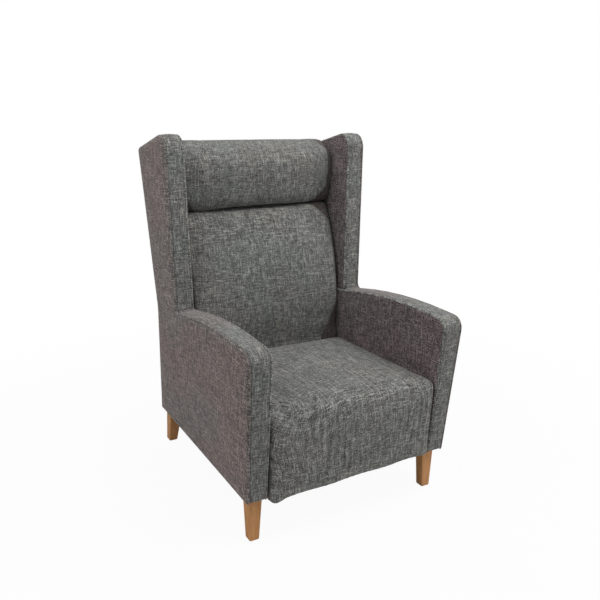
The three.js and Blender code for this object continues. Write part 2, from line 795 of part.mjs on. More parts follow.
// The seat is crowned along and across, rolls over its front edge and runs down the front rail.
function seatCushion() {
  const bottom = bodyBottom - seatBorderDrop;
  const innerTop = seatPadBase;
  const behindRail = (z) => frontY(z, frontRailInset) - gap;
  const front = [-seatFront, seatHeight, seatEdgeRadius];
  const rear = [seatRear, seatHeight - seatCrown, seatEndRadius];
  const foot = [-seatFront + seatFrontLean, bottom, bottomCornerRadius];
  const [topPieces, frontPieces] = [8, 4];
  const corners = [
    foot,
    [behindRail(bottom), bottom, bottomCornerRadius],
    [behindRail(innerTop), innerTop, 0],
    [seatRear, innerTop, bottomCornerRadius],
    rear,
    ...bowedEdge(rear, front, seatTopBow, topPieces),
    front,
    ...bowedEdge(front, foot, seatFrontBow, frontPieces),
  ];
  const middleSteps = 12;
  const [crownStartShare, crownEndShare] = [0.15, 0.85];
  const layers = padLayers(corners, seatHalfWidth, seatEndRadius, middleSteps);
  return stackedSolid(layers, (y, z, share) => {
    const across = 1 - share ** 2;
    const along = THREE.MathUtils.clamp((y + seatFront) / (seatRear + seatFront), 0, 1);
    const up = THREE.MathUtils.clamp((z - innerTop) / (seatHeight - innerTop), 0, 1);
    const arch = Math.sin(Math.PI * THREE.MathUtils.lerp(crownStartShare, crownEndShare, along));
    const lift = seatCrown * across * arch * up;
    const ahead = THREE.MathUtils.clamp((behindRail(z) - y) / seatEdgeRadius, 0, 1);
    const push = seatFrontBulge * across * ahead * (1 - up * along);
    const belly = seatBelly * up;
    return [share * (seatHalfWidth + belly), y - push, z + lift];
  });
}

// The pad's side edge rises from the seat to the fold with a lumbar swell between.
function backFaceY(z) {
  const share = THREE.MathUtils.clamp((z - seatHeight) / (creaseHeight - seatHeight), 0, 1);
  const lumbarPower = 1.2;
  const swell = lumbarSwell * Math.sin(Math.PI * share ** lumbarPower);
  return THREE.MathUtils.lerp(backFootFace, backCreaseFace, share) - swell;
}

// A cushion's front is pushed out towards the middle and its rear stays flat on the webs.
function crownedBack(y, share, faceY, rear, crown, softness, fall) {
  const ahead = THREE.MathUtils.clamp((rear - y) / (rear - faceY), 0, 1);
  return y + (fall - crown * (1 - Math.abs(share) ** softness)) * ahead;
}

// Seen from the front, an elliptical corner narrows a cushion's face. From its line to the
// cushion's side the face falls back.
function cornerFall(corner, height, fromSide) {
  const reach = THREE.MathUtils.clamp(1 - height / corner.up, 0, 1);
  const border = corner.across * (1 - Math.sqrt(1 - reach ** 2));
  return borderFallShare * Math.max(border - fromSide, 0);
}

function backPad() {
  const faceSteps = 9;
  const top = creaseHeight - gap * 2;
  const face = Array.from({ length: faceSteps - 1 }, (_, i) => {
    const z = top + ((backPadBottom - top) * (i + 1)) / faceSteps;
    return [backFaceY(z), z, 0];
  });
  const corners = [
    [backFootFace, backPadBottom, bottomCornerRadius],
    [rearY(backPadBottom, padRearInset), backPadBottom, bottomCornerRadius],
    [rearY(backKinkHeight, padRearInset), backKinkHeight, kinkRadius],
    [rearY(top, padRearInset), top, bottomCornerRadius],
    [backFaceY(top), top, backCornerSoftness],
    ...face,
  ];
  const middleSteps = 12;
  const softness = 3;
  const layers = padLayers(corners, sideX(creaseHeight, armThickness), backEndRadius, middleSteps);
  return stackedSolid(layers, (y, z, share) => {
    const rise = THREE.MathUtils.smoothstep(z, seatHeight, backKinkHeight);
    const crown = THREE.MathUtils.lerp(z < seatHeight ? 0 : backFootCrown, backCrown, rise);
    const fromSide = (1 - Math.abs(share)) * sideX(z, armThickness);
    const fall =
      cornerFall(backUpperCorner, creaseHeight - z, fromSide) +
      cornerFall(backLowerCorner, z - seatHeight, fromSide);
    const moved = crownedBack(y, share, backFaceY(z), rearY(z, padRearInset), crown, softness, fall);
    return [share * (sideX(z, armThickness) - gap), moved, z];
  });
}

// The headrest is a roll between the wings.
function headrestPad() {
  const bottom = creaseHeight + gap;
  const middle = (bottom + headTop) / 2;
  const rearTop = wingTopZ(rearY(headTop, padRearInset), headDrop);
  const corners = [
    [headFoldFace, bottom, headFoldRadius],
    [rearY(bottom, padRearInset), bottom, bottomCornerRadius],
    [rearY(rearTop, padRearInset), rearTop, headTopRadius],
    [headTopFace, headTop, headTopRadius],
    [headFrontFace, headTop - headBevel, headCornerRadius],
    [headFrontFace, middle, 0],
  ];
  const middleSteps = 12;
  const softness = 3.2;
  const layers = padLayers(corners, sideX(headTop, wingThickness), headEndRadius, middleSteps);
  return stackedSolid(layers, (y, z, share) => {
    const fromSide = (1 - Math.abs(share)) * sideX(z, wingThickness);
    const fall = cornerFall(headLowerCorner, z - creaseHeight, fromSide);
    const moved = crownedBack(y, share, headFrontFace, rearY(z, padRearInset), headCrown, softness, fall);
    return [share * (sideX(z, wingThickness) - gap), moved, z];
  });
}

// A padded strip over the top rail, from the headrest to the outside back
function backTopBand() {
  const foot = topRailHeight + backRailDepth + gap;
  const rearFoot = backPanelTop + gap;
  const corners = [
    [rearY(foot, webInset), foot, 0],
    [rearY(foot, postInset), foot, 0],
    [rearY(rearFoot, postInset), rearFoot, 0],
    [rearY(rearFoot, 0), rearFoot, 0],
    [backCorner, wingBackHeight, backCornerRadius],
    [...backTopPoint(webInset, headDrop), 0],
  ];
  return crossPiece(roundedOutline(corners), wingThickness);
}

function outsideBack() {
  const points = [
    [rearY(bodyBottom, backPanelThickness), bodyBottom],
    [rearY(bodyBottom, 0), bodyBottom],
    [rearY(backKinkHeight, 0), backKinkHeight],
    [rearY(backPanelTop, 0), backPanelTop],
    [rearY(backPanelTop, backPanelThickness), backPanelTop],
    [rearY(backKinkHeight, backPanelThickness), backKinkHeight],
  ];
  return crossPiece(points, sidePanelThickness);
}

addPiece(chair, 'seat_insulator', seatInsulator(), felt);
addPiece(chair, 'seat_foam', seatFoam(), foam);
addPiece(chair, 'seat_cushion', seatCushion(), fabric);
addPiece(chair, 'back_pad', backPad(), fabric);
addPiece(chair, 'headrest_pad', headrestPad(), fabric);
addPiece(chair, 'back_top_band', backTopBand(), fabric);
addPiece(chair, 'outside_back', outsideBack(), fabric);

// Under the frame, with its corners cut out round the legs
function dustCover() {
  const halfWidth = sideX(frameBottom, timberStart) - gap;
  const front = frontY(frameBottom, frontRailInset);
  const rear = rearY(frameBottom, postInset);
  const notchX = legTopCentre - legTopWidth / 2 - legChamfer;
  const notchFront = -frontLegTop + legTopDepth / 2 + legChamfer;
  const notchRear = rearLegTop - rearLegTopDepth / 2 - legChamfer;
  const points = [
    [-notchX, front],
    [notchX, front],
    [notchX, notchFront],
    [halfWidth, notchFront],
    [halfWidth, notchRear],
    [notchX, notchRear],
    [notchX, rear],
    [-notchX, rear],
    [-notchX, notchRear],
    [-halfWidth, notchRear],
    [-halfWidth, notchFront],
    [-notchX, notchFront],
  ];
  const layers = [bodyBottom, bodyBottom + dustCoverThickness].map((level) => ({ points, level }));
  return stackedSolid(layers, (x, y, z) => [x, y, z]);
}

addPiece(chair, 'dust_cover', dustCover(), dustCloth);

// A rectangle with its corners planed off
function planedSquare(x, y, width, depth, chamfer) {
  const [w, d] = [width / 2, depth / 2];
  return [
    [x - w + chamfer, y - d],
    [x + w - chamfer, y - d],
    [x + w, y - d + chamfer],
    [x + w, y + d - chamfer],
    [x + w - chamfer, y + d],
    [x - w + chamfer, y + d],
    [x - w, y + d - chamfer],
    [x - w, y - d + chamfer],
  ];
}

function leg(sign, place) {
  const foot = glideHeight + gap;
  const section = (share, inset) => {
    const x = sign * THREE.MathUtils.lerp(legFootCentre, legTopCentre, share);
    const y = THREE.MathUtils.lerp(place.foot, place.top, share);
    const width = THREE.MathUtils.lerp(legFootWidth, legTopWidth, share) - 2 * inset;
    const depth = THREE.MathUtils.lerp(place.footDepth, place.topDepth, share) - 2 * inset;
    return planedSquare(x, y, width, depth, legChamfer);
  };
  const chamferShare = legChamfer / (legTop - foot);
  const layers = [
    { points: section(0, legChamfer / 2), level: foot },
    { points: section(chamferShare, 0), level: foot + legChamfer },
    { points: section(1, 0), level: legTop },
  ];
  const solid = stackedSolid(layers, (x, y, z) => [x, y, z]);
  const drill = 2 * (boltReach + boltEndRoom);
  return withHole(solid, sign * legTopCentre, place.top, legTop, boltRadius + gap, drill);
}

function turned(profile, x, y) {
  const sides = 20;
  const geometry = new THREE.LatheGeometry(profile.map(([r, z]) => new THREE.Vector2(r, z)), sides);
  geometry.rotateX(Math.PI / 2);
  geometry.translate(x, y, 0);
  return geometry;
}

function glide(x, y) {
  const profile = [
    [0, 0],
    [glideRadius - glideHeight / 2, 0],
    [glideRadius, glideHeight / 2],
    [glideRadius, glideHeight],
    [0, glideHeight],
  ];
  return turned(profile, x, y);
}

function legBolt(x, y) {
  const bevel = boltRadius / 4;
  const [low, high] = [legTop - boltReach, frameBottom + boltReach];
  const profile = [
    [0, low],
    [boltRadius - bevel, low],
    [boltRadius, low + bevel],
    [boltRadius, high - bevel],
    [boltRadius - bevel, high],
    [0, high],
  ];
  return turned(profile, x, y);
}

// A block in the corner between the side rail and a seat rail
function cornerBlock(sign, railFace, turn) {
  const outline = (z) => {
    const x = sideX(frameBottom, timberEnd) - gap;
    const y = railFace(z) + turn * gap;
    const corner = [sign * x, y];
    const along = [sign * (x - blockSize), y];
    const back = [sign * x, y + turn * blockSize];
    return sign * turn > 0 ? [corner, back, along] : [corner, along, back];
  };
  const layers = [frameBottom, frameBottom + blockHeight].map((level) => ({ points: outline(level), level }));
  return stackedSolid(layers, (x, y, z) => [x, y, z]);
}

const frontPlace = {
  top: -frontLegTop,
  foot: -frontLegFoot,
  topDepth: legTopDepth,
  footDepth: legFootDepth,
};
const rearPlace = {
  top: rearLegTop,
  foot: rearLegFoot,
  topDepth: rearLegTopDepth,
  footDepth: rearLegFootDepth,
};
const frontBlockFace = (z) => frontY(z, frontRailInset) + crossRailThickness;
const rearBlockFace = (z) => rearY(z, postFaceInset);

for (const [side, sign] of [['left', -1], ['right', 1]]) {
  for (const [end, place, face, turn] of [
    ['front', frontPlace, frontBlockFace, 1],
    ['rear', rearPlace, rearBlockFace, -1],
  ]) {
    addPiece(chair, `leg_${end}_${side}`, leg(sign, place), oak);
    addPiece(chair, `glide_${end}_${side}`, glide(sign * legFootCentre, place.foot), nylon);
    addPiece(chair, `leg_bolt_${end}_${side}`, legBolt(sign * legTopCentre, place.top), steel);
    addPiece(chair, `corner_block_${end}_${side}`, cornerBlock(sign, face, turn), beech);
  }
}

export default chair;
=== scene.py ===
import math
from functools import partial

import bmesh
import bpy
import numpy as np
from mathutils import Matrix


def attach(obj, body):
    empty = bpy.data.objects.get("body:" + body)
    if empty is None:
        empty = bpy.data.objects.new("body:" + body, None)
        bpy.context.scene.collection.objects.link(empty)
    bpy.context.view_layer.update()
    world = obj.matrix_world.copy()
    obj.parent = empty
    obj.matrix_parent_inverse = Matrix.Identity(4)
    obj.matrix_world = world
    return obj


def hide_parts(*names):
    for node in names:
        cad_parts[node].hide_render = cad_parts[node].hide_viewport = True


# Acoustic high back lounge chair: the covers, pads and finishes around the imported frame.
# Shapes are worked out in millimetres and put into the meshes in metres.
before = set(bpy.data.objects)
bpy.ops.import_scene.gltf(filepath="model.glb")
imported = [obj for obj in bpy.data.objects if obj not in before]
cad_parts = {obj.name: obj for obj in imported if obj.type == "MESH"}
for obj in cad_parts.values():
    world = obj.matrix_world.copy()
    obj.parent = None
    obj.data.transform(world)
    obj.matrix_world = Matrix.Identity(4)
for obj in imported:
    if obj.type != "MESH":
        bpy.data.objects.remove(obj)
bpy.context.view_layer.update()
print("frame loaded")


# Camera: where the photograph was taken from
cameraValues = {
    "placeM": (-1.03956, -1.93109, 1.20737),
    "turnDeg": 28.937,  # to the right of straight ahead
    "dropDeg": 17.263,  # below the horizon
    "lensMm": 39.285,
    "shiftUp": 0.05,
    "sensorMm": 36,
    "clipM": (0.05, 60),
}


def makeCamera(values):
    # Turned up from straight down by 90 degrees less the drop, then to the right.
    data = bpy.data.cameras.new("camera")
    camera = bpy.data.objects.new("camera", data)
    bpy.context.scene.collection.objects.link(camera)
    data.sensor_width = values["sensorMm"]
    data.lens = values["lensMm"]
    data.shift_y = values["shiftUp"]
    data.clip_start, data.clip_end = values["clipM"]
    camera.location = values["placeM"]
    camera.rotation_euler = (math.radians(90 - values["dropDeg"]), 0, math.radians(-values["turnDeg"]))
    bpy.context.scene.camera = camera


makeCamera(cameraValues)
print("camera placed")


# Colours and nodes
def linearColour(hexValue):
    # sRGB to linear: a straight foot below 0.04045, and above it ((c + 0.055) / 1.055) to the power 2.4
    channels = [int(hexValue[i:i + 2], 16) / 255 for i in (1, 3, 5)]
    return tuple(c / 12.92 if c <= 0.04045 else ((c + 0.055) / 1.055) ** 2.4 for c in channels) + (1,)


def addNode(tree, kind, inputs=None, **settings):
    # Inputs: name or number to a socket, which is linked, or to a value. Settings: the node's own properties.
    node = tree.nodes.new("ShaderNode" + kind)
    for name, value in settings.items():
        setattr(node, name, value)
    for name, value in (inputs or {}).items():
        if isinstance(value, bpy.types.NodeSocket):
            tree.links.new(value, node.inputs[name])
        else:
            node.inputs[name].default_value = value
    return node.outputs


def newMaterial(name):
    # An empty material, and addNode bound to its tree.
    material = bpy.data.materials.new(name)
    material.use_nodes = True
    material.node_tree.nodes.clear()
    return material, partial(addNode, material.node_tree)


def scaledNoise(add, source, scale, shift, dimensions="3D", **inputs):
    # Noise over the place times the scale, plus the shift.
    place = add("Mapping", {"Vector": source, "Location": shift, "Scale": scale})[0]
    return add("TexNoise", {"Vector": place, "Scale": 1.0, **inputs}, noise_dimensions=dimensions)


def finishMaterial(add, colour, height, values):
    # The height lifts the surface by up to bumpMm. A value with a capital is the shader's own.
    normal = add("Bump", {"Strength": 1.0, "Distance": values["bumpMm"] / 1000, "Height": height})["Normal"]
    named = {name: value for name, value in values.items() if name[0].isupper()}
    shader = add("BsdfPrincipled", {"Base Color": colour, "Normal": normal, "IOR": 1.5, **named})["BSDF"]
    add("OutputMaterial", {"Surface": shader})


# Upholstery cloth: polyester melange, plain weave with slub yarns both ways.
# Matt, with short light slubs over a dark and mid grey grain. Each piece carries in the attribute
# "threads", in metres, its places along the weft and the warp and the distance to its nearest seam.
clothValues = {
    "darkYarn": "#2a2a2a",
    "midYarn": "#626160",
    "lightYarn": "#b9b9b3",
    # the seam's line colour, near black: painted shade in a seam's groove
    "seamLine": "#161616",
    "yarnMm": 2.1,  # a real yarn is about 1 mm: drawn coarser so that single yarns show
    "warpRunMm": 30.0,  # how far a yarn keeps its tone
    "weftRunMm": 24.0,
    "grainMm": 2.3,  # the mix of dark and light fibres, drawn coarser too
    "grainShare": 1.3,
    "slubRunMm": 75.0,  # single light slubs, long and sparse
    "slubShare": 0.2,
    "wanderMm": 3.0,
    "wanderPerM": 12.0,
    "streakMm": 9.0,
    "streakRunMm": 170.0,
    "streakShare": 0.06,
    "driftMm": 200.0,
    "lighterShare": 0.62,  # how much the lighter of two crossing yarns counts
    "gain": 1.0,  # how far the mix stands out
    "seamMm": 1.1,
    # seamShade: how dark the painted shade in a seam's groove is
    "seamShade": 0.75,  # how dark a seam's line is
    "borderMm": 1.0,  # over how far the tint changes beside a seam
    "bumpMm": 0.8,
    "Roughness": 0.93,
    "Sheen Weight": 0.18,
    "Sheen Roughness": 0.45,
}


def yarnTone(add, across, along, yarnMm, runMm, shift, detail, low):
    # Every yarn has its own tone, which changes along its run: noise over (yarn's number, place along it),
    # spread from low and 0.74 to 0 and 1.
    number = add("Math", {0: across, 1: 1000 / yarnMm}, operation="MULTIPLY")[0]
    number = add("Math", {0: number}, operation="FLOOR")[0]
    row = add("Math", {0: number, 1: 7.31 + shift}, operation="MULTIPLY")[0]
    run = add("Math", {0: along, 1: 1000 / runMm}, operation="MULTIPLY")[0]
    inputs = {"Vector": add("CombineXYZ", {0: row, 1: run})[0], "Scale": 1.0, "Detail": detail, "Roughness": 0.65}
    return add("MapRange", {0: add("TexNoise", inputs, noise_dimensions="2D")["Fac"], 1: low, 2: 0.74})[0]


def melangeCloth(name, tints, borderTint="#ffffff", **changes):
    # Colour: the mix of yarns, slubs, grain and streaks, times the tint, darkened along the seam by painted shade in
    # its groove.
    values = {**clothValues, **changes}
    colours = {part: linearColour(values[part]) for part in ("darkYarn", "midYarn", "lightYarn", "seamLine")}
    material, add = newMaterial(name)
    threads = add("Attribute", attribute_name="threads")["Vector"]
    seamPlace = add("SeparateXYZ", {0: threads})["Z"]
    # The yarns wander: a slow noise moves the place by up to half of wanderMm each way.
    slow, grainScale, drift = values["wanderPerM"], 1000 / values["grainMm"], 1000 / values["driftMm"]
    wander = scaledNoise(add, threads, (slow, slow, 1), (4.7, 1.1, 0), "2D", Detail=1.0)["Color"]
    far = values["wanderMm"] / 1000
    moved = add("VectorMath", {0: wander, 1: (far, far, far), 2: threads}, operation="MULTIPLY_ADD")[0]
    place = add("SeparateXYZ", {0: moved})
    x, y, made = place["X"], place["Y"], {"seamPlace": seamPlace}
    for result, across, along, run, shift, detail, low in (
        ("warp", x, y, "warpRunMm", 0.0, 3.0, 0.26),
        ("weft", y, x, "weftRunMm", 1.7, 3.0, 0.26),
        ("warpSlub", x, y, "slubRunMm", 4.4, 1.0, 0.66),
        ("weftSlub", y, x, "slubRunMm", 5.9, 1.0, 0.66),
    ):
        made[result] = yarnTone(add, across, along, values["yarnMm"], values[run], shift, detail, low)
    # The grain is one noise, and the streaks are two long thin ones, along each way of the cloth.
    thin, long = 1000 / values["streakMm"], 1000 / values["streakRunMm"]
    for result, scale, shift, detail, roughness in (
        ("grain", (grainScale, grainScale, 1), (0.4, 5.2, 0), 3.0, 0.7),
        ("warpStreak", (thin, long, 1), (3.1, 7.7, 0), 1.0, 0.5),
        ("weftStreak", (long, thin, 1), (11.3, 2.9, 0), 1.0, 0.5),
    ):
        made[result] = scaledNoise(add, moved, scale, shift, "2D", Detail=detail, Roughness=roughness)["Fac"]
    # Tone: the lighter of the two yarns counts for more than the darker one, the slubs and the grain are added.
    # Height: six tenths of the tone and four of the grain, less twice the seam.
    share = values["lighterShare"]
    for result, operation, *terms in (
        ("high", "MAXIMUM", "warp", "weft"),
        ("low", "MINIMUM", "warp", "weft"),
        ("low", "MULTIPLY", "low", 1 - share),
        ("yarns", "MULTIPLY_ADD", "high", share, "low"),
        ("slub", "MAXIMUM", "warpSlub", "weftSlub"),
        ("yarns", "MULTIPLY_ADD", "slub", values["slubShare"], "yarns"),
        ("speck", "SUBTRACT", "grain", 0.5),
        ("tone", "MULTIPLY_ADD", "speck", values["grainShare"], "yarns"),
        ("streak", "ADD", "warpStreak", "weftStreak"),
        ("streak", "SUBTRACT", "streak", 1.0),
        ("mix", "MULTIPLY_ADD", "streak", values["streakShare"] * 2, "tone"),
        ("rise", "MULTIPLY", "grain", 0.4),
        ("rise", "MULTIPLY_ADD", "tone", 0.6, "rise"),
        ("fromSeam", "ABSOLUTE", "seamPlace"),
    ):
        inputs = {number: made.get(term, term) for number, term in enumerate(terms)}
        made[result] = add("Math", inputs, operation=operation)[0]
    spread = 0.5 / values["gain"]
    mix = add("MapRange", {0: made["mix"], 1: 0.5 - spread, 2: 0.5 + spread})[0]
    # Colour: dark to mid to light yarn along the mix, times a tint that drifts and changes at a border, which on the
    # cushions' faces is painted shade in part.
    colour = colours["darkYarn"]
    for part, start in (("midYarn", 0.0), ("lightYarn", 0.5)):
        share = add("MapRange", {0: mix, 1: start, 2: start + 0.5})[0]
        colour = add("Mix", {0: share, 6: colour, 7: colours[part]}, data_type="RGBA")[2]
    drift = scaledNoise(add, threads, (drift, drift, 1), (1.9, 0.3, 0), "2D", Detail=1.0)["Fac"]
    drift = add("MapRange", {0: drift, 1: 0.35, 2: 0.65})[0]
    tint = add("Mix", {0: drift, 6: linearColour(tints[0]), 7: linearColour(tints[1])}, data_type="RGBA")[2]
    half = values["borderMm"] / 2000
    border = add("MapRange", {0: seamPlace, 1: -half, 2: half, 3: 1.0, 4: 0.0})[0]
    tint = add("Mix", {0: border, 6: tint, 7: linearColour(borderTint)}, data_type="RGBA")[2]
    colour = add("Mix", {0: 1.0, 6: colour, 7: tint}, data_type="RGBA", blend_type="MULTIPLY")[2]
    # The seam's line: painted shade in its groove, where the bump also sinks.
    seam = {0: made["fromSeam"], 1: 0.0, 2: values["seamMm"] / 1000, 3: values["seamShade"], 4: 0.0}
    seam = add("MapRange", seam)[0]
    colour = add("Mix", {0: seam, 6: colour, 7: colours["seamLine"]}, data_type="RGBA")[2]
    height = add("Math", {0: seam, 1: -2.0, 2: made["rise"]}, operation="MULTIPLY_ADD")[0]
    finishMaterial(add, colour, height, values)
    return material


grey = ("#f5fbfa", "#fbf9f6")
# Grey cloth of the cushions and the rear. Its border tint, a darker brown, lies on the back pad's and headrest's face
# borders beside the arms and wings: partly a browner border cloth, partly painted shade in that recess.
bodyCloth = melangeCloth("melange_weave_grey", grey, "#a39491")
seatLook = {"yarnMm": 2.6, "grainMm": 3.1, "grainShare": 1.7, "warpRunMm": 48.0, "gain": 1.05}
seatCloth = melangeCloth("melange_weave_seat_grey", ("#f8fbfa", "#fbfaf7"), **seatLook)
coarser = {"yarnMm": 2.8, "grainMm": 3.2, "grainShare": 2.1, "slubShare": 0.26}
warm, plum = ("#f4d6d4", "#eddcda"), ("#e2cccf", "#dccdd1")
sideCloth = melangeCloth("melange_weave_warm_grey", warm, "#f8faf8", **coarser, borderMm=40.0, gain=1.12)
# The inner pads' plum tint is darker, and their mix stands out more, than the side panels': partly the same pinkish
# tone as the side panels, partly painted shade on faces that the arms and wings shade. Their rim keeps a grey tint.
innerClothPaintedShade = melangeCloth("melange_weave_plum_grey_painted_shade", plum, "#f8faf8", **coarser, seamShade=0.0, gain=1.25)
armCloth = melangeCloth("melange_weave_arm_grey", grey, "#f5e9e6", borderMm=150.0, seamShade=0.0)


# Sewing thread: bonded polyester, twisted. A faint gleam along each stitch.
threadMaterial, add = newMaterial("bonded_polyester_thread")
twist = scaledNoise(add, add("TexCoord")["Object"], (900, 900, 900), (0, 0, 0), "2D")["Fac"]
threadColour = add("Mix", {0: twist, 6: linearColour("#4a4947"), 7: linearColour("#6a6966")}, data_type="RGBA")[2]
finishMaterial(add, threadColour, twist, {"Roughness": 0.6, "bumpMm": 0.2})


def woodMaterial(name, light, mid, dark, grainMm, runMm, **values):
    # Noises stretched up the piece: a slow one, wrung, mixes light and mid, and the fibres add dark lines.
    material, add = newMaterial(name)
    place = add("TexCoord")["Object"]
    scale = (1000 / grainMm, 1000 / grainMm, 1000 / runMm)
    slow = tuple(s * 0.22 for s in scale)
    fibres = scaledNoise(add, place, scale, (0, 0, 0), Detail=4.0, Roughness=0.6)["Fac"]
    broad = scaledNoise(add, place, slow, (2, 5, 1), Detail=1.0, Distortion=0.6)["Fac"]
    colour = linearColour(light)
    for noise, low, high, over in ((broad, 0.35, 0.65, mid), (fibres, 0.52, 0.75, dark)):
        share = add("MapRange", {0: noise, 1: low, 2: high})[0]
        colour = add("Mix", {0: share, 6: colour, 7: linearColour(over)}, data_type="RGBA")[2]
    finishMaterial(add, colour, fibres, values)
    return material


# Oak: sawn, planed and sprayed with a clear satin lacquer. Warm honey brown with fine dark pores.
lacquer = {"Roughness": 0.5, "bumpMm": 0.15, "Coat Weight": 0.12, "Coat Roughness": 0.35}
oakWood = woodMaterial("oak_satin_lacquer", "#d79b5f", "#ca8d50", "#9c6030", 3.0, 70.0, **lacquer)
# Beech: sawn and planed, unfinished. Pale, with short fine flecks.
beechWood = woodMaterial("beech_planed", "#d3b487", "#c9a777", "#ad8656", 4.0, 60.0, Roughness=0.7, bumpMm=0.15)


def plainMaterial(name, dark, light, grainMm, **values):
    # One noise varies the colour and lifts the surface.
    material, add = newMaterial(name)
    scale = 1000 / grainMm
    grain = scaledNoise(add, add("TexCoord")["Object"], (scale, scale, scale), (0, 0, 0), Detail=3.0)["Fac"]
    share = add("MapRange", {0: grain, 1: 0.3, 2: 0.7})[0]
    colour = add("Mix", {0: share, 6: linearColour(dark), 7: linearColour(light)}, data_type="RGBA")[2]
    finishMaterial(add, colour, grain, values)
    return material


# Hidden finishes: dark, light, grain in mm, roughness, metallic and bump in mm
plainFinishes = {
    "drawn_spring_steel": ("#7d7f82", "#9b9da0", 2.0, 0.35, 1.0, 0.05),  # drawn wire: bright grey, a soft gleam
    "needled_felt": ("#5e5a53", "#7d776d", 1.5, 0.95, 0.0, 0.6),  # needled wool: matt brown grey, fuzzy
    "cut_polyether_foam": ("#dcd6c1", "#ece8d8", 1.2, 0.9, 0.0, 0.4),  # cut foam: cream, with open cells
    "woven_elastic_web": ("#232325", "#353538", 1.6, 0.85, 0.0, 0.4),  # woven rubber thread: black, finely ribbed
    "spunbond_dust_cloth": ("#1f1f20", "#2d2d2e", 1.2, 0.95, 0.0, 0.3),  # spunbond polypropylene: black, papery
    "moulded_nylon": ("#343434", "#404040", 0.8, 0.55, 0.0, 0.05),  # moulded: dark grey, smooth and dull
}
steelWire, needledFelt, cutFoam, elasticWeb, spunbondCloth, mouldedNylon = (
    plainMaterial(name, dark, light, grainMm, Roughness=roughness, Metallic=metallic, bumpMm=bumpMm)
    for name, (dark, light, grainMm, roughness, metallic, bumpMm) in plainFinishes.items()
)
print("materials made")


# Outlines. A corner is (a, b, radius), counter-clockwise, and its arc has arcSpan points.
arcSteps = 8
arcSpan = arcSteps + 1


def roundedLine(corners, inset):
    # Each corner moves in along its bisector by the inset, and an arc of the radius left turns it.
    place, radius = corners[:, :2], corners[:, 2]
    edge = unitLong(np.roll(place, -1, axis=0) - place)
    inward = np.stack([-edge[:, 1], edge[:, 0]], axis=1)
    edgeBefore, inwardBefore = np.roll(edge, 1, axis=0), np.roll(inward, 1, axis=0)
    cross = edgeBefore[:, 0] * edge[:, 1] - edgeBefore[:, 1] * edge[:, 0]
    angle = np.arctan2(cross, (edgeBefore * edge).sum(axis=1))
    moved = place + (inwardBefore + inward) * (inset / (1 + np.cos(angle)))[:, None]
    left = np.where(angle > 0, np.maximum(radius - inset, 0.8), radius + inset) * (radius > 0)
    start = moved - edgeBefore * (left * np.tan(np.abs(angle) / 2))[:, None]
    spoke = -inwardBefore * (left * np.sign(angle))[:, None]
    centre = start - spoke
    turn = angle[:, None] * np.linspace(0, 1, arcSteps + 1)[None, :]
    a = centre[:, :1] + spoke[:, :1] * np.cos(turn) - spoke[:, 1:] * np.sin(turn)
    b = centre[:, 1:] + spoke[:, :1] * np.sin(turn) + spoke[:, 1:] * np.cos(turn)
    return np.stack([a, b], axis=-1).reshape(-1, 2)


def lineAt(corners, inset, places):
    # The inset line's points, read between its numbered points; numbers past the last run round again.
    points = roundedLine(corners, inset)
    points = np.vstack([points, points, points[:1]])
    number = np.arange(len(points))
    return np.stack([np.interp(places, number, points[:, k]) for k in (0, 1)], axis=-1)


def ringAt(corners, inset, places, depth):
    # The inset line's points with a third column that holds the depth.
    return np.column_stack([lineAt(corners, inset, places), np.full(len(places), depth)])


def unitLong(vectors):
    # Each vector over its length.
    return vectors / np.linalg.norm(vectors, axis=-1, keepdims=True)


def held(share):
    # Between 0 and 1.
    return np.clip(share, 0, 1)


def runAlong(line):
    # The length from a line's start to each of its points.
    return np.concatenate([[0], np.cumsum(np.linalg.norm(np.diff(line, axis=0), axis=1))])


def spreadPlaces(corners, marks, cells, closeness=0.5):
    # Places from mark to mark by length along the line, closer together near each mark.
    points = roundedLine(corners, 0)
    length = runAlong(np.vstack([points, points, points[:1]]))
    number = np.arange(len(length))
    stretches = []
    for start, end, count in zip(marks[:-1], marks[1:], cells):
        even = np.linspace(0, 1, count + 1)
        share = (1 - closeness) * even + closeness * (1 - np.cos(math.pi * even)) / 2
        low, high = np.interp([start, end], number, length)
        stretches.append(np.interp(low + (high - low) * share, length, number))
    return stretches


def coonsPatch(bottom, top, left, right):
    # Each point blends the facing sides, less the blend of the four corners.
    u = np.linspace(0, 1, len(bottom))[None, :, None]
    v = np.linspace(0, 1, len(left))[:, None, None]
    sides = (1 - v) * bottom[None] + v * top[None] + (1 - u) * left[:, None] + u * right[:, None]
    corners = (1 - u) * (1 - v) * bottom[0] + u * (1 - v) * bottom[-1] + (1 - u) * v * top[0] + u * v * top[-1]
    return sides - corners


def distanceTo(points, line):
    # Shortest distance from each point to a closed line.
    start, end = line, np.roll(line, -1, axis=0)
    run = end - start
    apart = points[:, None] - start[None]
    share = held((apart * run[None]).sum(-1) / np.maximum((run ** 2).sum(-1), 1e-9))
    return np.sqrt((((apart - share[..., None] * run[None]) ** 2).sum(-1)).min(axis=1))


def gridFaces(rows, columns, offset=0, closed=False):
    # Quads between neighbouring rows and columns, and between the last and first column where closed.
    index = offset + np.arange(rows * columns).reshape(rows, columns)
    if closed:
        index = np.hstack([index, index[:, :1]])
    return np.stack([index[:-1, :-1], index[:-1, 1:], index[1:, 1:], index[1:, :-1]], axis=-1).reshape(-1, 4)


def weldPatches(patches):
    # Grids of points become one list of quads; points closer than a hundredth of a millimetre are one.
    points, faces, offset = [], [], 0
    for grid, closed in patches:
        points.append(grid.reshape(-1, grid.shape[-1]))
        faces.append(gridFaces(grid.shape[0], grid.shape[1], offset, closed))
        offset += grid.shape[0] * grid.shape[1]
    points, faces = np.vstack(points), np.vstack(faces)
    key = np.round(points[:, :3] * 100).astype(np.int64)
    first, back = np.unique(key, axis=0, return_index=True, return_inverse=True)[1:]
    return points[first], back.reshape(-1)[faces]


